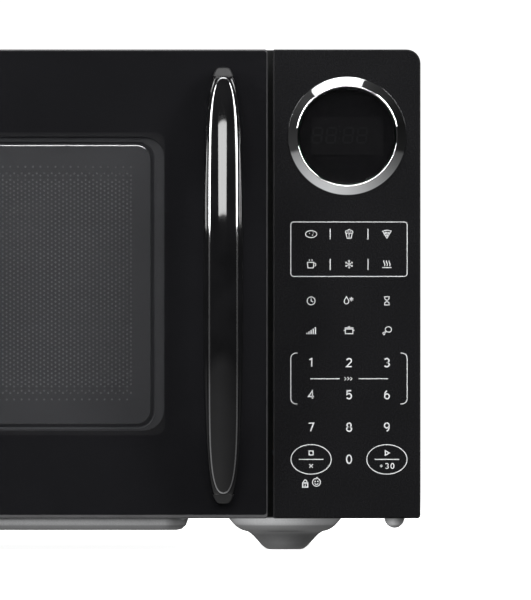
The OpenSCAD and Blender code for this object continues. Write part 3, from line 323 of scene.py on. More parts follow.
def door_materials(add):
    """The glossy bar, the glass with its print, and the screen behind it."""
    add("black_gloss", (0.0045, 0.0045, 0.0049), 0.06, vary=0.25, scale=50, rough_vary=0.02,
        bump=0.06, bump_scale=260, bump_height=0.00002, Specular_IOR_Level=0.42, Coat_Weight=0.15,
        Coat_Roughness=0.03)
    # painted highlight: a bright metallic bead stands in for the glint along the black plastic rim
    add("handle_bead", (0.3, 0.302, 0.306), 0.08, 0.9, vary=0.05, scale=200)
    add("handle_end", (0.0085, 0.0085, 0.009), 0.4, vary=0.2, scale=150, bump=0.2, fine=0.5,
        bump_scale=1500, bump_height=0.00002, Specular_IOR_Level=0.4)
    add("black_matte", (0.0085, 0.0085, 0.0092), 0.42, vary=0.2, scale=60, bump=0.4, bump_scale=2400,
        bump_height=0.00003, fine=0.5, Specular_IOR_Level=0.2)
    add("door_glass", (0.004, 0.004, 0.005), 0.05, vary=0.2, scale=12, rough_vary=0.012, Alpha=0.3,
        Specular_IOR_Level=0.4)
    add("black_print", (0.0105, 0.0105, 0.0113), 0.5, vary=0.42, scale=30, fine=0.85, fine_scale=1500,
        Specular_IOR_Level=0.0)
    add("screen_steel", (0.053, 0.054, 0.0575), 0.34, 0.3, vary=0.12, scale=16, bump=0.15, fine=0.5,
        bump_scale=1500)
    add("clear_film", (0.3, 0.31, 0.32), 0.12, vary=0.06, scale=20, Alpha=0.12)
    # painted glint: the hole walls are lighter than the plate, so each hole reads as a light dot
    add("punched_edge", (0.2, 0.204, 0.21), 0.3, 0.2, vary=0.25, scale=500)
    # painted highlight: polished metal on the painted screen's lip, so that it shows a bright line round
    # the window
    add("pressed_lip", (0.3, 0.305, 0.31), 0.12, 0.9, vary=0.15, scale=120)
    # painted highlight: the ground edge keeps full brightness along the bottom and is darker up the sides
    # and top
    shaded_along(
        add("glass_edge", (0.065, 0.065, 0.067), 0.45, vary=0.15, scale=80, bump=0.2),
        "Z", ((GLASS[0].z + 2.0, 1.0), (GLASS[0].z + 2.4, 0.8)))


def panel_materials(add):
    """The keypad film and its print, the chrome ring and the display behind its tinted lens."""
    add("keypad", (0.0064, 0.0064, 0.007), 0.15, vary=0.42, scale=30, rough_vary=0.02, fine=0.85,
        fine_scale=1500, bump=0.05, bump_scale=400, bump_height=0.00002, Specular_IOR_Level=0.28)
    add("legend", (0.5, 0.505, 0.51), 0.4, vary=0.05, scale=900, rough_vary=0.05)
    add("bezel_chrome", (0.78, 0.79, 0.8), 0.04, 1.0, vary=0.03, scale=80, rough_vary=0.015, bump=0.03,
        bump_scale=300, bump_height=0.00002)
    add("display_tint", (0.0024, 0.0024, 0.0027), 0.05, vary=0.2, scale=40, rough_vary=0.01, Alpha=0.3,
        Specular_IOR_Level=0.4)
    add("display_dark", (0.0148, 0.0148, 0.0156), 0.4, vary=0.1, scale=200, Specular_IOR_Level=0.0)
    add("display_ghost", (0.0235, 0.0238, 0.025), 0.4, vary=0.1, scale=300, Specular_IOR_Level=0.0)
    add("lens_print", (0.0102, 0.0102, 0.0109), 0.4, vary=0.2, scale=200, Specular_IOR_Level=0.0)


def inner_materials(add):
    """Everything inside the cabinet and the cavity."""
    add("board", (0.03, 0.16, 0.07), 0.35, vary=0.35, scale=260, fine=0.3, bump=0.2, bump_scale=700)
    add("pale_plastic", (0.66, 0.64, 0.57), 0.42, vary=0.05, scale=50, bump=0.2, bump_scale=1800,
        Subsurface_Weight=0.05)
    add("switch_plastic", (0.02, 0.02, 0.022), 0.4, vary=0.15, scale=120, bump=0.25, bump_scale=2200)
    add("plunger_plastic", (0.6, 0.08, 0.05), 0.4, vary=0.08, scale=300)
    add("copper", (0.75, 0.36, 0.2), 0.3, 0.95, vary=0.1, scale=90, bump=0.1)
    banded(add("winding", (0.5, 0.2, 0.07), 0.3, 0.7, vary=0.35, scale=90), "Z", 0.0011)
    banded(add("lamination", (0.17, 0.17, 0.18), 0.45, 0.7, vary=0.35, scale=70), "Y", 0.0008)
    add("ferrite", (0.03, 0.03, 0.032), 0.6, vary=0.2, scale=200, bump=0.5, bump_scale=900)
    banded(add("fin_aluminium", (0.72, 0.73, 0.74), 0.3, 0.95, vary=0.08, scale=60),
           "Z", 0.0006, 0.4, 0.00005)
    add("mica", (0.5, 0.46, 0.38), 0.35, vary=0.16, scale=120, stretch=(1, 1, 3), fine=0.3, bump=0.3)
    add("lamp_glass", (0.85, 0.8, 0.68), 0.2, vary=0.05, scale=60, Alpha=0.8)
    add("spring_steel", (0.6, 0.6, 0.62), 0.25, 1.0, vary=0.1, scale=400, bump=0.1)
    add("screw_steel", (0.03, 0.03, 0.032), 0.34, 0.6, vary=0.2, scale=200, bump=0.2)
    add("wire_sleeve", (0.5, 0.03, 0.025), 0.45, vary=0.1, scale=200, bump=0.2)
    add("tray_glass", (0.78, 0.86, 0.85), 0.05, vary=0.02, scale=30, rough_vary=0.02,
        Transmission_Weight=0.9, IOR=1.5, bump=0.1, bump_scale=160, bump_height=0.0002)


def make_materials():
    made = {}

    def add(name, *values, **settings):
        made[name] = surface(name, *values, **settings)
        return made[name]

    sheet_materials(add)
    door_materials(add)
    panel_materials(add)
    inner_materials(add)
    return made


# ------------------------------------------------------------------ mesh tools
def piece(name, verts, faces, mat, body, smooth=False):
    """A mesh object made of points in millimetres, which rides on a body."""
    mesh = bpy.data.meshes.new(name)
    mesh.from_pydata([Vector(v) * MM for v in verts], [], faces)
    mesh.validate()
    mesh.polygons.foreach_set("use_smooth", [smooth] * len(mesh.polygons))
    mesh.materials.append(mat)
    obj = bpy.data.objects.new(name, mesh)
    scene.collection.objects.link(obj)
    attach(obj, body)
    return obj


def outward(obj, weld=0.0):
    """Turns every face of a closed mesh outwards, once points within weld metres are merged."""
    bm = bmesh.new()
    bm.from_mesh(obj.data)
    if weld:
        bmesh.ops.remove_doubles(bm, verts=bm.verts, dist=weld)
    bmesh.ops.recalc_face_normals(bm, faces=bm.faces)
    bm.to_mesh(obj.data)
    bm.free()
    return obj


def band_faces(n, rows):
    """Quads between closed rows of n points each."""
    return [(k * n + i, k * n + (i + 1) % n, (k + 1) * n + (i + 1) % n, (k + 1) * n + i)
            for k in range(rows - 1) for i in range(n)]


def lathe(name, profile, axis, centre, mat, body, steps=128, smooth=True):
    """Turns a closed profile of (radius, along) points about an axis, 'Y' or 'Z', through centre."""
    verts, faces = [], []
    n = len(profile)
    for i in range(steps):
        a = 2 * math.pi * i / steps
        for r, along in profile:
            u, v = centre[0] + r * math.cos(a), centre[1] + r * math.sin(a)
            verts.append((u, along, v) if axis == "Y" else (u, v, along))
    for i in range(steps):
        j = (i + 1) % steps
        for k in range(n):
            m = (k + 1) % n
            if max(profile[k][0], profile[m][0]) >= 1e-6:
                faces.append((i * n + k, i * n + m, j * n + m, j * n + k))
    obj = outward(piece(name, verts, faces, mat, body, smooth), weld=1e-7)
    obj.modifiers.new("normals", "WEIGHTED_NORMAL").keep_sharp = True
    return obj


def loft(name, rings, mat, body, smooth=True):
    """Skins rings of points, all of one length, and closes both ends."""
    n = len(rings[0])
    verts = [p for ring in rings for p in ring]
    caps = [tuple(range(n)), tuple(range((len(rings) - 1) * n, len(rings) * n))]
    return outward(piece(name, verts, band_faces(n, len(rings)) + caps, mat, body, smooth))


def slab(name, outline, front, back, mat, body):
    """A flat plate between two y planes, with a drawn outline."""
    n = len(outline)
    verts = [(px, y, pz) for y in (front, back) for px, pz in outline]
    caps = [tuple(range(n)), tuple(range(2 * n - 1, n - 1, -1))]
    return outward(piece(name, verts, caps + band_faces(n, 2), mat, body))


def on_oval(cx, cz, rx, rz, degrees):
    a = math.radians(degrees)
    return (cx + rx * math.cos(a), cz + rz * math.sin(a))


def arc(cx, cz, rx, rz, a0, a1, n=20):
    """Points along part of an oval, from a0 to a1 degrees."""
    return [on_oval(cx, cz, rx, rz, a0 + (a1 - a0) * i / n) for i in range(n + 1)]


def oval(cx, cz, rx, rz, n=28):
    return arc(cx, cz, rx, rz, 0, 360, n)[:-1]


def corner_rect(x0, z0, x1, z1, radii, n=8):
    """A rectangle with round corners. Radii: lower right, upper right, upper left, lower left."""
    out = []
    spots = ((x1, z0, -1, 1, 270), (x1, z1, -1, -1, 0), (x0, z1, 1, -1, 90), (x0, z0, 1, 1, 180))
    for (cx, cz, sx, sz, a0), r in zip(spots, radii):
        out += arc(cx + sx * r, cz + sz * r, r, r, a0, a0 + 90, n)
    return out


def round_rect(x0, z0, x1, z1, r, n=8):
    return corner_rect(x0, z0, x1, z1, (r, r, r, r), n)


def refine(node, mat, width=0.25, segments=2, angle=32, bevel=True):
    """Gives a CAD node its material and softens its edges, with the mesh itself left alone."""
    obj = nodes[node]
    obj.data.materials.clear()
    obj.data.materials.append(mat)
    weld = obj.modifiers.new("weld", "WELD")
    weld.merge_threshold = 1e-6
    obj.data.polygons.foreach_set("use_smooth", [True] * len(obj.data.polygons))
    if not bevel:
        split = obj.modifiers.new("split", "EDGE_SPLIT")
        split.split_angle = math.radians(angle)
        obj.modifiers.new("normals", "WEIGHTED_NORMAL").weight = 95
        return
    flat = obj.modifiers.new("flat", "DECIMATE")
    flat.decimate_type = "DISSOLVE"
    flat.angle_limit = math.radians(0.5)
    edge = obj.modifiers.new("edge", "BEVEL")
    edge.width = width * MM
    edge.segments = segments
    edge.limit_method = "ANGLE"
    edge.angle_limit = math.radians(angle)
    edge.harden_normals = False
    normals = obj.modifiers.new("normals", "WEIGHTED_NORMAL")
    normals.keep_sharp = True
    normals.weight = 90


# ------------------------------------------------------------------ handle
FACE_HALF, FACE_W = 120.0, 8.45         # half length and half width of the face
FACE_END = FACE_HALF + 0.5              # height above the middle at which the end caps start
CROWN = 0.028                           # how fast the face falls away sideways from its crest
GRIP = 22                               # room for fingers behind the middle of the bar
END_RISE = 12                           # how far the bar's ends stand out from the door
BEAD = ((0.85, 0.0), (0.55, 0.15), (0.27, 0.29), (0.0, 0.43))       # (in from the edge, drop)
SHOULDER = ((-0.12, 0.7), (-0.32, 1.2), (-0.45, 1.9), (-0.5, 3.0))  # the same, outside the edge
CROWN_STEPS = (0.84, 0.66, 0.44, 0.22, 0.0)     # shares of the width from the rim in to the middle
CAP_STEPS = (0.32, 0.24, 0.16, 0.08, 0.0)
HEIGHTS = (                             # heights of the sections, as (from, to, how many)
    (0, 104, 27), (106, 116, 11), (116.4, 118.8, 7), (119.0, 120.6, 13), (121, 124, 4), (124.5, 125.9, 8))


def smooth_step(t):
    """Goes from 0 to 1 with t, level at both ends."""
    u = min(1.0, max(0.0, t))
    return u * u * (3 - 2 * u)


def face_width(u, inset):
    """Half width of the handle's face at height u from its middle, drawn in by inset all round."""
    return (FACE_W - inset) * max(0.0, 1 - (u / (FACE_HALF - inset)) ** 7) ** 0.4


def handle_face(u, crest):
    """Rim and crown of the face at height u: the rim from the crown's edge out over bead and shoulder."""
    table = BEAD + SHOULDER
    q = face_width(u, table[0][0])
    edge = crest - CROWN * q * q
    left = FACE_HALF - u
    drop = float(np.interp(left, [i for i, _ in reversed(table)], [d for _, d in reversed(table)]))
    rim = [(face_width(u, i), edge - d) if i < left else (0.003 * k, edge - drop)
           for k, (i, d) in enumerate(table)]
    crown = [(q * k, crest - CROWN * (q * k) ** 2) if q > 0.05 else (0.0005 * k, edge - drop)
             for k in CROWN_STEPS]
    start = rim[-1][0] if left >= -0.3 else 0.003 * len(table)
    return rim, crown, start, rim[-1][1]


def handle_cap(u, w):
    """The plain cap past the face's tip: it slopes towards the door and rounds off at the very end."""
    count = len(BEAD + SHOULDER)
    top = 11.0 - 0.85 * (u - FACE_END)
    if u > 125:
        top -= 3.0 * (1 - math.sqrt(max(0.0, 1 - (u - 125) ** 2)))
    start = 0.8 * w
    rim = [(start * (0.4 + 0.6 * k / count), top) for k in range(count)]
    return rim, [(start * k, top) for k in CAP_STEPS], start, top


def handle_section(u, half, back_w, reach):
    """One side of a cross-section, from the middle of the back round to the middle of the face."""
    w = max(0.4, back_w * max(0.0, 1 - (u / half) ** 2.6) ** 0.286)
    crest = END_RISE + (reach - END_RISE) * (1 - (u / half) ** 2) - 0.1
    g = GRIP * smooth_step((0.86 - u / half) / 0.5)
    rim, crown, start, top = handle_face(u, crest) if u < FACE_END else handle_cap(u, w)
    body = top - g
    dip = min(0.8, g / 3)
    back = [(0.0, g - dip), (0.45 * w, g - 0.5 * dip), (0.8 * w, g), (0.93 * w, g + 0.07 * body),
            (w, g + 0.2 * body)]
    waist = g + 0.34 * body
    turn = [math.radians(a) for a in (88, 72, 56, 40, 24, 10)]
    flank = [(start + (w - start) * math.sin(a) ** 0.6, waist + (top - waist) * math.cos(a) ** 0.6)
             for a in turn]
    return back + flank + rim[::-1] + crown


def handle(mats):
    """The bowed bar: a crowned face with a bead round it, on a D-shaped body with plain ends."""
    cx, cz = (HANDLE[0].x + HANDLE[1].x) / 2, (HANDLE[0].z + HANDLE[1].z) / 2
    half = (HANDLE[1].z - HANDLE[0].z) / 2
    heights = [float(u) for a, b, n in HEIGHTS for u in np.linspace(a, b, n)]
    rings = []
    for dz in [-u for u in reversed(heights[1:])] + heights:
        side = handle_section(abs(dz), half, (HANDLE[1].x - HANDLE[0].x) / 2, FRONT - HANDLE[0].y)
        ring = side + [(-x, y) for x, y in reversed(side[1:-1])]
        rings.append([(cx + x, FRONT - y, cz + dz) for x, y in ring])
    obj = loft("handle_bar", rings, mats["black_gloss"], "door")
    obj.data.materials.append(mats["handle_bead"])
    obj.data.materials.append(mats["handle_end"])
    n = len(rings[0])
    # the bead faces take handle_bead, whose metallic grey is a painted highlight
    first = len(side) - len(CROWN_STEPS) - len(BEAD)
    bead = {first + k for k in range(len(BEAD) - 1)}
    bead |= {n - 1 - j for j in bead}
    for poly in obj.data.polygons[:(len(rings) - 1) * n]:
        if poly.index % n in bead:
            poly.material_index = 1
        if abs(poly.center.z / MM - cz) > FACE_END:
            poly.material_index = 2
    obj.visible_glossy = False          # or the chrome ring would mirror it
    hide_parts("door_handle")


# ------------------------------------------------------------------ keypad legends
def line(points, width=0.5, closed=False):
    return (points, width, closed)


def shape(points, width=0.5):
    return line(points, width, True)


def ribbon(points, width, closed):
    """Outline of a flat stroke along points: two rows of points, left and right of the line."""
    n = len(points)
    left, right = [], []
    for i in range(n):
        p = Vector(points[i])
        a = Vector(points[(i - 1) % n]) if closed or i else None
        b = Vector(points[(i + 1) % n]) if closed or i < n - 1 else None
        d1 = (p - a).normalized() if a is not None else (b - p).normalized()
        d2 = (b - p).normalized() if b is not None else d1
        n1 = Vector((-d1.y, d1.x))
        n2 = Vector((-d2.y, d2.x))
        m = n1 + n2
        m = n1 if m.length < 1e-6 else m.normalized()
        k = width / 2 / max(0.45, m.dot(n1))
        left.append(p + m * k)
        right.append(p - m * k)
    return left, right


DIGITS = {
    "1": [line([(-1.1, 1.6), (0.35, 2.35), (0.35, -2.35)])],
    "2": [line(arc(0, 1.05, 1.35, 1.3, 165, -25, 14) + [(-1.4, -2.3), (1.5, -2.3)])],
    "3": [line(arc(-0.1, 1.15, 1.3, 1.2, 150, -80, 14)), line(arc(-0.1, -1.15, 1.45, 1.2, 88, -150, 16))],
    "4": [line([(0.75, -2.35), (0.75, 2.3), (-1.5, -1.05), (1.65, -1.05)])],
    "5": [line([(1.25, 2.3), (-1.05, 2.3), (-1.2, 0.1)] + arc(-0.05, -0.85, 1.4, 1.5, 130, -150, 18))],
    "6": [shape(oval(0.05, -0.95, 1.35, 1.4)), line(arc(0.9, -0.4, 2.2, 2.9, 172, 112, 10))],
    "7": [line([(-1.4, 2.3), (1.45, 2.3), (-0.35, -2.35)])],
    "8": [shape(oval(0, 1.2, 1.15, 1.15)), shape(oval(0, -1.15, 1.4, 1.25))],
    "9": [shape(oval(-0.05, 0.95, 1.35, 1.4)), line(arc(-0.9, 0.4, 2.2, 2.9, -8, -68, 10))],
    "0": [shape(oval(0, 0, 1.4, 2.35))],
    "+": [line([(-1.3, 0), (1.3, 0)]), line([(0, -1.3), (0, 1.3)])],
}


def digit(d, x, z, scale=1.0, width=0.74):
    return [([(x + scale * px, z + scale * pz) for px, pz in points], width * scale, closed)
            for points, _, closed in DIGITS[d]]


def spokes():
    """A frost crystal: three bars through the middle, with two barbs on each arm."""
    bars = [line([on_oval(0, 0, 2.6, 2.6, a), on_oval(0, 0, -2.6, -2.6, a)]) for a in (90, 30, 150)]
    barbs = []
    for a in (math.radians(k) for k in range(30, 390, 60)):
        root = (1.5 * math.cos(a), 1.5 * math.sin(a))
        barbs += [line([(root[0] + 0.8 * math.cos(a + b), root[1] + 0.8 * math.sin(a + b)), root], 0.4)
                  for b in (0.75, -0.75)]
    return bars + barbs


ICONS = {                               # small line pictures, about 7 mm wide
    "potato": [shape(oval(0, 0, 3.4, 2.1)), line([(-1.2, 0.5), (-0.8, 0.3)]),
               line([(0.6, -0.5), (1.1, -0.7)]), line([(1.2, 0.7), (1.6, 0.6)])],
    "popcorn": [shape([(-1.9, 0.6), (-1.2, -2.5), (1.2, -2.5), (1.9, 0.6)]),
                line(arc(-1.3, 1.2, 0.9, 0.9, 200, 20, 8)), line(arc(0.1, 1.9, 0.95, 0.9, 190, -10, 8)),
                line(arc(1.4, 1.2, 0.9, 0.9, 160, -30, 8)), line([(0, 0.3), (0, -2.1)], 0.4)],
    "pizza": [shape([(-2.6, 1.8), (0.0, -2.5), (2.6, 1.8)] + arc(0, 1.0, 2.9, 1.3, 38, 142, 8)[1:-1]),
              shape(oval(-0.7, 0.8, 0.5, 0.5, 10), 0.4), shape(oval(0.9, 0.7, 0.45, 0.45, 10), 0.4),
              shape(oval(0.05, -0.7, 0.4, 0.4, 10), 0.4)],
    "cup": [shape([(-2.3, 1.2), (-1.9, -2.2), (1.3, -2.2), (1.7, 1.2)]),
            line(arc(1.75, -0.2, 1.1, 1.0, 70, -75, 8)),
            line([(-1.2, 1.9), (-0.9, 2.5), (-1.2, 3.1)], 0.4),
            line([(0.4, 1.9), (0.7, 2.5), (0.4, 3.1)], 0.4)],
    "frost": spokes(),
    "reheat": [line([(-2.8, -2.0), (2.8, -2.0)])]
    + [line([(c + 0.35 * math.sin(t * 1.6), -1.1 + t) for t in np.linspace(0, 3.4, 9)])
       for c in (-1.6, 0, 1.6)],
    "clock": [shape(oval(0, 0, 2.4, 2.4)), line([(0, 1.5), (0, 0), (1.2, -0.6)])],
    "drop": [shape([(-1.6, 2.6)] + arc(-1.6, -0.3, 1.4, 1.5, 150, 390, 14)),
             line([(1.4, 2.3), (1.4, -0.3)]), line([(0.3, 1.65), (2.5, 0.35)]),
             line([(0.3, 0.35), (2.5, 1.65)])],
    "glass": [line([(-1.7, 2.5), (1.7, 2.5)]), line([(-1.7, -2.5), (1.7, -2.5)]),
              line([(-1.3, 2.4), (-1.3, 1.2), (0.3, 0), (-1.3, -1.2), (-1.3, -2.4)]),
              line([(1.3, 2.4), (1.3, 1.2), (-0.3, 0), (1.3, -1.2), (1.3, -2.4)])],
    "power": [line([(c, -2.2), (c, -1.4 + 0.85 * k)], 0.75)
              for k, c in enumerate((-2.6, -1.3, 0, 1.3, 2.6))],
    "cook": [shape([(-2.3, 0.9), (-2.3, -1.9), (2.3, -1.9), (2.3, 0.9)]), line([(-2.7, 1.6), (2.7, 1.6)]),
             line([(-0.6, 2.3), (0.6, 2.3)]), line([(-3.3, 0.1), (-2.6, 0.1)]),
             line([(3.3, 0.1), (2.6, 0.1)])],
    "meat": [shape([(-0.4, -0.2)] + arc(0.9, 0.6, 1.9, 1.7, 200, -70, 16) + [(-0.1, -0.8)]),
             line([(-0.35, -0.5), (-1.7, -1.6)], 0.8), shape(oval(-2.1, -1.6, 0.42, 0.42, 10)),
             shape(oval(-1.75, -2.1, 0.42, 0.42, 10))],
    "faster": [line([(k * 2.1 - 1.2, 1.2), (k * 2.1, 0), (k * 2.1 - 1.2, -1.2)]) for k in (-1, 0, 1)],
    "stop": [shape([(-1.15, -1.15), (1.15, -1.15), (1.15, 1.15), (-1.15, 1.15)], 0.6)],
    "cross": [line([(-1.0, -1.0), (1.0, 1.0)], 0.55), line([(-1.0, 1.0), (1.0, -1.0)], 0.55)],
    "start": [shape([(-0.9, -1.3), (1.4, 0), (-0.9, 1.3)], 0.6)],
    "lock": [shape([(-1.5, -2.4), (1.5, -2.4), (1.5, 0.1), (-1.5, 0.1)], 0.75),
             line(arc(0, 0.3, 1.05, 1.7, 0, 180, 10), 0.55), line([(0, -0.8), (0, -1.6)], 0.6)],
    "child": [shape(oval(0, 0, 2.4, 2.4)), shape(oval(-0.8, 0.5, 0.28, 0.28, 8), 0.4),
              shape(oval(0.8, 0.5, 0.28, 0.28, 8), 0.4), line(arc(0, -0.2, 1.2, 1.1, 205, 335, 8), 0.45),
              line(arc(0.2, 2.3, 0.6, 0.6, 240, 30, 6), 0.4)],
}


def icon(name, x, z, scale=1.0):
    return [([(x + scale * px, z + scale * pz) for px, pz in points], width * scale, closed)
            for points, width, closed in ICONS[name]]


def food_frame(left, right):
    """The round-cornered frame of the six food keys, with bars between its columns."""
    bars = [line([(x, LOW + low), (x, LOW + high)], 0.55)
            for x in (RIGHT - 52.1, RIGHT - 30.3) for low, high in ((160.9, 167.1), (143.3, 149.7))]
    return [shape(round_rect(left, LOW + 139.6, right, LOW + 171.0, 1.7, 5), 0.45)] + bars


def bracket(x, side, low, high, r=3.0):
    """A tall bracket with round corners. Its ends point right where side is 1, left where it is -1."""
    end = x + side * (r + 0.8)
    upper = arc(x + side * r, high - r, -side * r, r, 90, 0, 6)
    lower = arc(x + side * r, low + r, -side * r, -r, 0, 90, 6)
    return line([(end, high)] + upper + lower + [(end, low)], 0.48)


def oval_key(x, upper, lower):
    """An oval key at column x, split by a bar, with an icon above the bar and other strokes below it."""
    z = LOW + 34.1
    outline = [shape(oval(x, z, 11.6, 8.5, 56)), line([(x - 7.1, z), (x + 7.1, z)])]
    return outline + icon(upper, x, LOW + 37.8) + lower


def keypad_art():
    """All strokes printed on the membrane, placed from its right and lower edges."""
    cols = [RIGHT - 63.1, RIGHT - 41.2, RIGHT - 19.4]
    left, right = RIGHT - 74.8, RIGHT - 7.7
    strokes = food_frame(left, right)
    rows = ((164.0, ("potato", "popcorn", "pizza")), (146.6, ("cup", "frost", "reheat")),
            (125.5, ("clock", "drop", "glass")), (108.4, ("power", "cook", "meat")))
    for z, names in rows:
        for x, name in zip(cols, names):
            strokes += icon(name, x, LOW + z, 0.95)
    for z, row in ((89.9, "123"), (71.4, "456"), (52.7, "789")):
        for x, d in zip(cols, row):
            strokes += digit(d, x, LOW + z)
    strokes += digit("0", cols[1], LOW + 34.2)
    strokes += icon("faster", cols[1], LOW + 80.6, 0.8)
    for s in (-1, 1):
        strokes.append(line([(cols[1] + s * 5.5, LOW + 80.6), (cols[1] + s * 22.5, LOW + 80.6)]))
    strokes += [bracket(x, side, LOW + 66.1, LOW + 95.4) for x, side in ((left, 1), (right, -1))]
    thirty = [stroke for k, d in enumerate("+30")
              for stroke in digit(d, cols[2] - 3.2 + 3.2 * k, LOW + 30.3, 0.62, 0.85)]
    strokes += oval_key(cols[0], "stop", icon("cross", cols[0], LOW + 30.3))
    strokes += oval_key(cols[2], "start", thirty)
    strokes += icon("lock", RIGHT - 66.5, LOW + 20.4, 0.95)
    return strokes + icon("child", RIGHT - 60.0, LOW + 20.9, 0.95)


def legends(mats):
    """The white print: each stroke is a thin solid on the membrane's face."""
    verts, faces = [], []
    back, front = FRONT - 0.002, FRONT - 0.05
    for points, width, closed in keypad_art():
        rows = ribbon(points, width, closed)
        n = len(points)
        base = len(verts)
        for y in (front, back):
            verts += [(p.x, y, p.y) for row in rows for p in row]
        for i in range(n if closed else n - 1):
            j = (i + 1) % n
            l0, l1, r0, r1 = base + i, base + j, base + n + i, base + n + j
            faces += [(l0, l1, r1, r0), (l1 + 2 * n, l0 + 2 * n, r0 + 2 * n, r1 + 2 * n),
                      (l1, l0, l0 + 2 * n, l1 + 2 * n), (r0, r1, r1 + 2 * n, r0 + 2 * n)]
        if not closed:
            faces += [(base, base + n, base + 3 * n, base + 2 * n),
                      (base + n - 1, base + 3 * n - 1, base + 4 * n - 1, base + 2 * n - 1)]
    obj = outward(piece("keypad_legends", verts, faces, mats["legend"], "cabinet"))


# ------------------------------------------------------------------ display
DIGIT_W, DIGIT_H, BAR_W, SLANT = 5.2, 8.6, 1.15, 0.12
CORNERS = {"tl": (-1, 1), "tr": (1, 1), "ml": (-1, 0), "mr": (1, 0), "bl": (-1, -1), "br": (1, -1)}
SEGMENTS = (("tl", "tr"), ("ml", "mr"), ("bl", "br"), ("tl", "ml"), ("tr", "mr"), ("ml", "bl"),
            ("mr", "br"))


def segment(p, q):
    """Outline of one bar of a digit, pointed at both ends."""
    d = (Vector(q) - Vector(p)).normalized()
    across = Vector((-d.y, d.x)) * BAR_W / 2
    p, q = Vector(p) + d * BAR_W * 0.15, Vector(q) - d * BAR_W * 0.15
    inner = d * BAR_W / 2
    return [p, p + inner + across, q - inner + across, q, q - inner - across, p + inner - across]


def seven_segments(x, z):
    """The seven bars of one digit, as closed outlines."""
    places = {k: (x + dx * DIGIT_W / 2 + SLANT * dz * DIGIT_H / 2, z + dz * DIGIT_H / 2)
              for k, (dx, dz) in CORNERS.items()}
    return [segment(places[a], places[b]) for a, b in SEGMENTS]


def display_ring(mats):
    """The chrome ring: a fine lip round the lens, a cone and a foot on the panel."""
    r_out = (BEZEL[1].x - BEZEL[0].x) / 2
    lip, seat = BEZEL[0].y, BEZEL[1].y
    cone = ((28.05, 2.6), (28.15, 1.0), (28.3, 0.45), (28.55, 0.12), (28.85, 0), (29.15, 0.05),
            (29.5, 0.3), (31.0, 1.4), (32.5, 2.5), (33.7, 3.4), (34.05, 3.72))
    profile = [(28.05, seat)] + [(r, lip + down) for r, down in cone]
    profile += [(r_out, FRONT - 0.15), (r_out, FRONT), (31.8, FRONT), (31.8, seat)]
    ring = lathe("bezel_ring", profile, "Y", DISPLAY, mats["bezel_chrome"], "cabinet", 192)
    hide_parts("display_bezel")


def display_lens(mats):
    """The tinted lens, slightly domed, and the dark print behind it."""
    face = FRONT - 1.5
    dome = ((0, -0.1), (14, -0.09), (22, -0.05), (26.9, 0), (27.4, 0.12), (27.75, 0.45), (27.9, 1.0),
            (27.9, 2.7), (0, 2.7))
    lens = lathe("lens_disc", [(r, face + back) for r, back in dome], "Y", DISPLAY, mats["display_tint"],
                 "cabinet", 160)
    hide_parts("display_lens")
    refine("display_module", mats["switch_plastic"])
    near, far = FRONT + 1.8, FRONT + 2.2
    back = lathe("lens_backing", [(0, near), (27.6, near), (27.6, far), (0, far)], "Y", DISPLAY,
                 mats["lens_print"], "cabinet", 64, False)


def display_digits(mats):
    """The unlit window behind the lens, with four digits and a colon that barely show."""
    cx, cz = DISPLAY
    window = slab("display_window", round_rect(cx - 20.7, cz - 11.1, cx + 21.0, cz + 11.0, 0.6, 3),
                  FRONT + 1.4, FRONT + 1.7, mats["display_dark"], "cabinet")
    bars, verts, faces = [], [], []
    for dx in (-14.2, -6.2, 3.6, 11.6):
        bars += seven_segments(cx - 3.0 + dx, cz + 0.4)
    for dz in (-2.0, 2.2):
        dot = [on_oval(cx - 4.3 + SLANT * dz, cz + 0.4 + dz, 0.6, 0.6, 60 * i) for i in range(6)]
        bars.append([Vector(p) for p in dot])
    for bar in bars:
        base = len(verts)
        verts += [(p.x, y, p.y) for y in (FRONT + 1.24, FRONT + 1.34) for p in bar]
        faces += [tuple(range(base, base + 6)), tuple(range(base + 11, base + 5, -1))]
        faces += [(base + i, base + 6 + i, base + 6 + (i + 1) % 6, base + (i + 1) % 6) for i in range(6)]
    ghost = outward(piece("display_digits", verts, faces, mats["display_ghost"], "cabinet"))


# ------------------------------------------------------------------ door glass
def glass_sheet(mats):
    """The glass with ground edges: a fine bevel all round, and a broad one along the bottom."""
    x0, x1, z0, z1 = GLASS[0].x, GLASS[1].x, GLASS[0].z, GLASS[1].z
    back = GLASS[1].y - 0.06            # clear of the print behind it
    verts = []
    for side, low, y in ((0.0, 0.0, back), (0.0, 0.0, FRONT + 0.5), (0.38, 1.7, FRONT)):
        ring = corner_rect(x0 + side, z0 + low, x1 - side, z1 - side, (1.6, 1.6, 7.6, 1.6))
        verts += [(px, y, pz) for px, pz in ring]
    n = len(verts) // 3
    faces = [tuple(range(n)), tuple(range(3 * n - 1, 2 * n - 1, -1))] + band_faces(n, 3)
    obj = outward(piece("glass_sheet", verts, faces, mats["door_glass"], "door"))
    # the edge faces take glass_edge, with its painted highlight along the bottom
    obj.data.materials.append(mats["glass_edge"])
    for poly in obj.data.polygons[2:]:
        poly.material_index = 1
    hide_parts("door_glass")
    for clear in (obj, nodes["door_frame"]):
        clear.visible_shadow = False


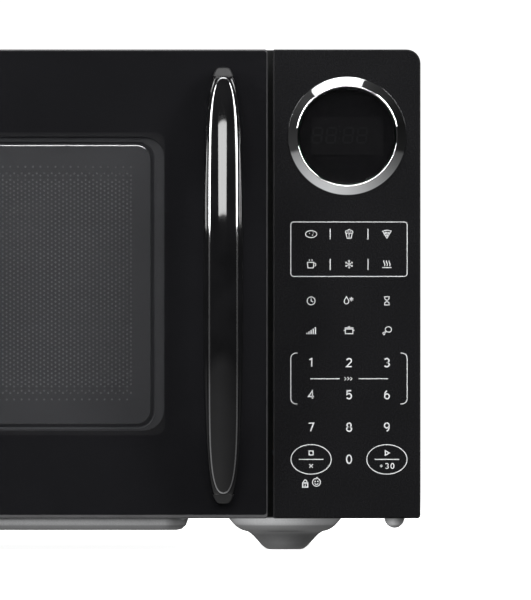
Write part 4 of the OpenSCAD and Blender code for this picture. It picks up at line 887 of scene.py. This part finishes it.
# ------------------------------------------------------------------ door screen
PITCH = 2.51                            # between the holes of one column
HOLE_R, PIERCED_R = 0.63, 0.3           # a hole's radius in front and at its bottom
HOLE_DEPTH = 0.33
BLANK_ROWS = (1, 2, 5)                  # half rows without holes, counted from each end of the field
HOLE_ANGLES = (0, 52, 90, 128, 180, 232, 270, 308)
CELL = ((1, 0), (0.5, 0.5), (0, 0.5), (-0.5, 0.5), (-1, 0), (-0.5, -0.5), (0, -0.5), (0.5, -0.5))
PRESSED = (                             # (in from the sides, up, down, corner radius, depth)
    (8.6, 6.7, 7.9, 8, 0),              # edge of the punched field
    (8.2, 6.3, 7.4, 8.4, 0.09),         # its lip, a polished metal ring: painted highlight
    (6.6, 4.5, 6.5, 9.6, 1.5), (6.2, 4.1, 6.1, 9.9, 1.3), (5.7, 3.7, 5.5, 10.3, 0),     # groove
    (0.4, 2.6, 3.4, 11.6, 0), (-0.2, 2.0, 2.8, 12.2, 0.6))                              # plate and its edge
PAN_CORNER = 10                         # steps in each round corner of the pressed shapes


def bm_loop(bm, points, y):
    return [bm.verts.new((px * MM, y * MM, pz * MM)) for px, pz in points]


def bm_bridge(bm, a, b, material=0):
    for i in range(len(a)):
        j = (i + 1) % len(a)
        bm.faces.new((a[i], a[j], b[j], b[i])).material_index = material


def bm_edges(bm, loop):
    return [bm.edges.get(pair) or bm.edges.new(pair) for pair in zip(loop, loop[1:] + loop[:1])]


def punched_field(bm, x0, z0, x1, z1, y):
    """Flat hexagonal cells, each with an eight-sided hole that narrows to the back."""
    step = PITCH * math.sqrt(3) / 2
    side = PITCH / math.sqrt(3)
    rows = int((z1 - z0) / PITCH)
    grid = {}

    def corner(px, pz):
        key = (round(px * 20), round(pz * 20))
        if key not in grid:
            grid[key] = bm.verts.new((px * MM, y * MM, pz * MM))
        return grid[key]

    for c in range(int((x1 - x0) / step)):
        for r in range(rows):
            half_row = 2 * r + (c % 2)
            px = x0 + (c + 0.5) * step
            pz = z0 + (half_row + 1) * PITCH / 2
            rim = [corner(px + a * side, pz + b * PITCH) for a, b in CELL]
            if half_row in BLANK_ROWS or 2 * rows - 1 - half_row in BLANK_ROWS:
                bm.faces.new(rim)
                continue
            front, back = [bm_loop(bm, [on_oval(px, pz, r, r, a) for a in HOLE_ANGLES], depth)
                           for r, depth in ((HOLE_R, y), (PIERCED_R, y + HOLE_DEPTH))]
            bm_bridge(bm, rim, front)
            # the hole walls take punched_edge, a painted glint
            bm_bridge(bm, front, back, 1)


def seal_flange(bm, wall):
    """The flange round the pan, with a slot for each hook of the latch bar."""
    y = SCREEN[1].y
    rim = bm_loop(bm, round_rect(SCREEN[0].x, SCREEN[0].z, SCREEN[1].x, SCREEN[1].z, 4, PAN_CORNER), y)
    hook = [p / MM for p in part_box("door_hook")]
    bmesh.ops.recalc_face_normals(bm, faces=bm.faces)
    edges = bm_edges(bm, wall) + bm_edges(bm, rim)
    middle = hook[0].x + 2
    for low, high in ((hook[0].z - 2, hook[0].z + 24), (hook[1].z - 34, hook[1].z + 6)):
        edges += bm_edges(bm, bm_loop(bm, round_rect(middle - 4, low, middle + 4, high, 1, 3), y))
    bmesh.ops.triangle_fill(bm, use_beauty=True, use_dissolve=False, edges=edges)


def screen(mats):
    """The pressed steel screen, from its punched field out to the seal flange, and the film behind it."""
    x0, x1 = FILM[0].x + 2.7, FILM[1].x - 2.7
    z0, z1 = FILM[0].z + 2.2, FILM[1].z - 2.2
    y = SCREEN[0].y
    bm = bmesh.new()
    punched_field(bm, x0 + 17.5, z0 + 19.3, x1 - 17.7, z1 - 18.7, y)
    open_edges = [e for e in bm.edges if len(e.link_faces) == 1
                  and all(abs(v.co.y - y * MM) < 1e-7 for v in e.verts)]
    loops = [bm_loop(bm, round_rect(x0 + side, z0 + up, x1 - side, z1 - down, r, PAN_CORNER), y + depth)
             for side, up, down, r, depth in PRESSED]
    side, up, down, r, _ = PRESSED[-1]
    wall = round_rect(x0 + side, z0 + up, x1 - side, z1 - down, r, PAN_CORNER)
    loops.append(bm_loop(bm, wall, SCREEN[1].y))
    for k, (a, b) in enumerate(zip(loops, loops[1:])):
        # the first band, the lip, takes pressed_lip, a painted highlight
        bm_bridge(bm, a, b, 0 if k else 2)
    margin = open_edges + bm_edges(bm, loops[0])
    bmesh.ops.triangle_fill(bm, use_beauty=True, use_dissolve=False, edges=margin)
    seal_flange(bm, loops[-1])
    mesh = bpy.data.meshes.new("screen_panel")
    bm.to_mesh(mesh)
    bm.free()
    for name in ("screen_steel", "punched_edge", "pressed_lip"):
        mesh.materials.append(mats[name])
    obj = bpy.data.objects.new("screen_panel", mesh)
    scene.collection.objects.link(obj)
    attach(obj, "door")
    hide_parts("door_screen")
    film = slab("window_film", round_rect(x0 + 0.2, z0 + 2.4, x1 - 0.2, z1 - 3.2, 11.8, PAN_CORNER),
                FILM[0].y, FILM[1].y, mats["clear_film"], "door")
    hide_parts("inner_window")


# ------------------------------------------------------------------ turntable
PLATE_RIM = (                           # (out from the plate's radius, up from its underside)
    (-20, 0), (-14, 0.9), (-8, 3), (-3.5, 8.2), (-1, 11.4), (0, 12.6), (-0.3, 13.6), (-1.2, 14.1),
    (-2, 14.2), (-3.4, 13.6), (-5.8, 10.6), (-10.5, 6.2), (-15, 4.6), (-21, 4))
LUG = ((8.5, -2), (15.5, -2), (15.5, 2), (8.5, 2))
BOX_FACES = ((0, 3, 2, 1), (4, 5, 6, 7), (0, 1, 5, 4), (1, 2, 6, 5), (2, 3, 7, 6), (3, 0, 4, 7))


def turntable(mats):
    """Glass plate with a raised rim and moulded rings, and three lugs under it for the coupler."""
    r = (TRAY[1].x - TRAY[0].x) / 2
    low = TRAY[0].z + 5
    top = [(r - 2 * k * 0.9 - 24, low + 4 + 0.25 * (k % 2)) for k in range(24)]
    profile = [(0, low)] + [(r + out, low + up) for out, up in PLATE_RIM] + top + [(0, low + 4)]
    plate = lathe("glass_plate_moulded", profile, "Z", HUB, mats["tray_glass"], "glass_plate", 144)
    verts, faces = [], []
    for k in range(3):
        a = math.radians(60 + 120 * k)
        u, v = Vector((math.cos(a), math.sin(a))), Vector((-math.sin(a), math.cos(a)))
        base = len(verts)
        for z in (TRAY[0].z, low + 0.2):
            for s, t in LUG:
                p = u * s + v * t
                verts.append((HUB[0] + p.x, HUB[1] + p.y, z))
        faces += [tuple(base + i for i in quad) for quad in BOX_FACES]
    lugs = piece("glass_plate_lugs", verts, faces, mats["tray_glass"], "glass_plate")
    bevel = lugs.modifiers.new("edge", "BEVEL")
    bevel.width = 0.6 * MM
    bevel.segments = 3
    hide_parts("glass_turntable")


# ------------------------------------------------------------------ everything
SLOT_OF = {s["node"]: s["material_slot"] for s in frame["record"]["subparts"]}
SOFT_EDGES = {                          # bevel widths in millimetres; other nodes only split their edges
    "door_frame": 0.4, "control_panel": 0.4, "choke_cover": 0.5,
    "cord_gland": 0.5, "cabinet_screws": 0.2, "upper_hinge": 0.3, "lower_hinge": 0.3, "door_hook": 0.4,
    "turntable_coupler": 0.5, "roller_ring": 0.5, "roller_1": 0.3, "roller_2": 0.3, "roller_3": 0.3,
    "latch_board": 0.2, "waveguide_cover": 0.15,
}


def cad_nodes(mats):
    for name in nodes:
        mat = mats[SLOT_OF[name]]
        if name in SOFT_EDGES:
            refine(name, mat, SOFT_EDGES[name])
        else:
            refine(name, mat, bevel=False)


camera()
world()
materials = make_materials()
cad_nodes(materials)
handle(materials)
legends(materials)
display_ring(materials)
display_lens(materials)
display_digits(materials)
glass_sheet(materials)
screen(materials)
turntable(materials)
lights()
floor()
scene.view_settings.view_transform = "Standard"
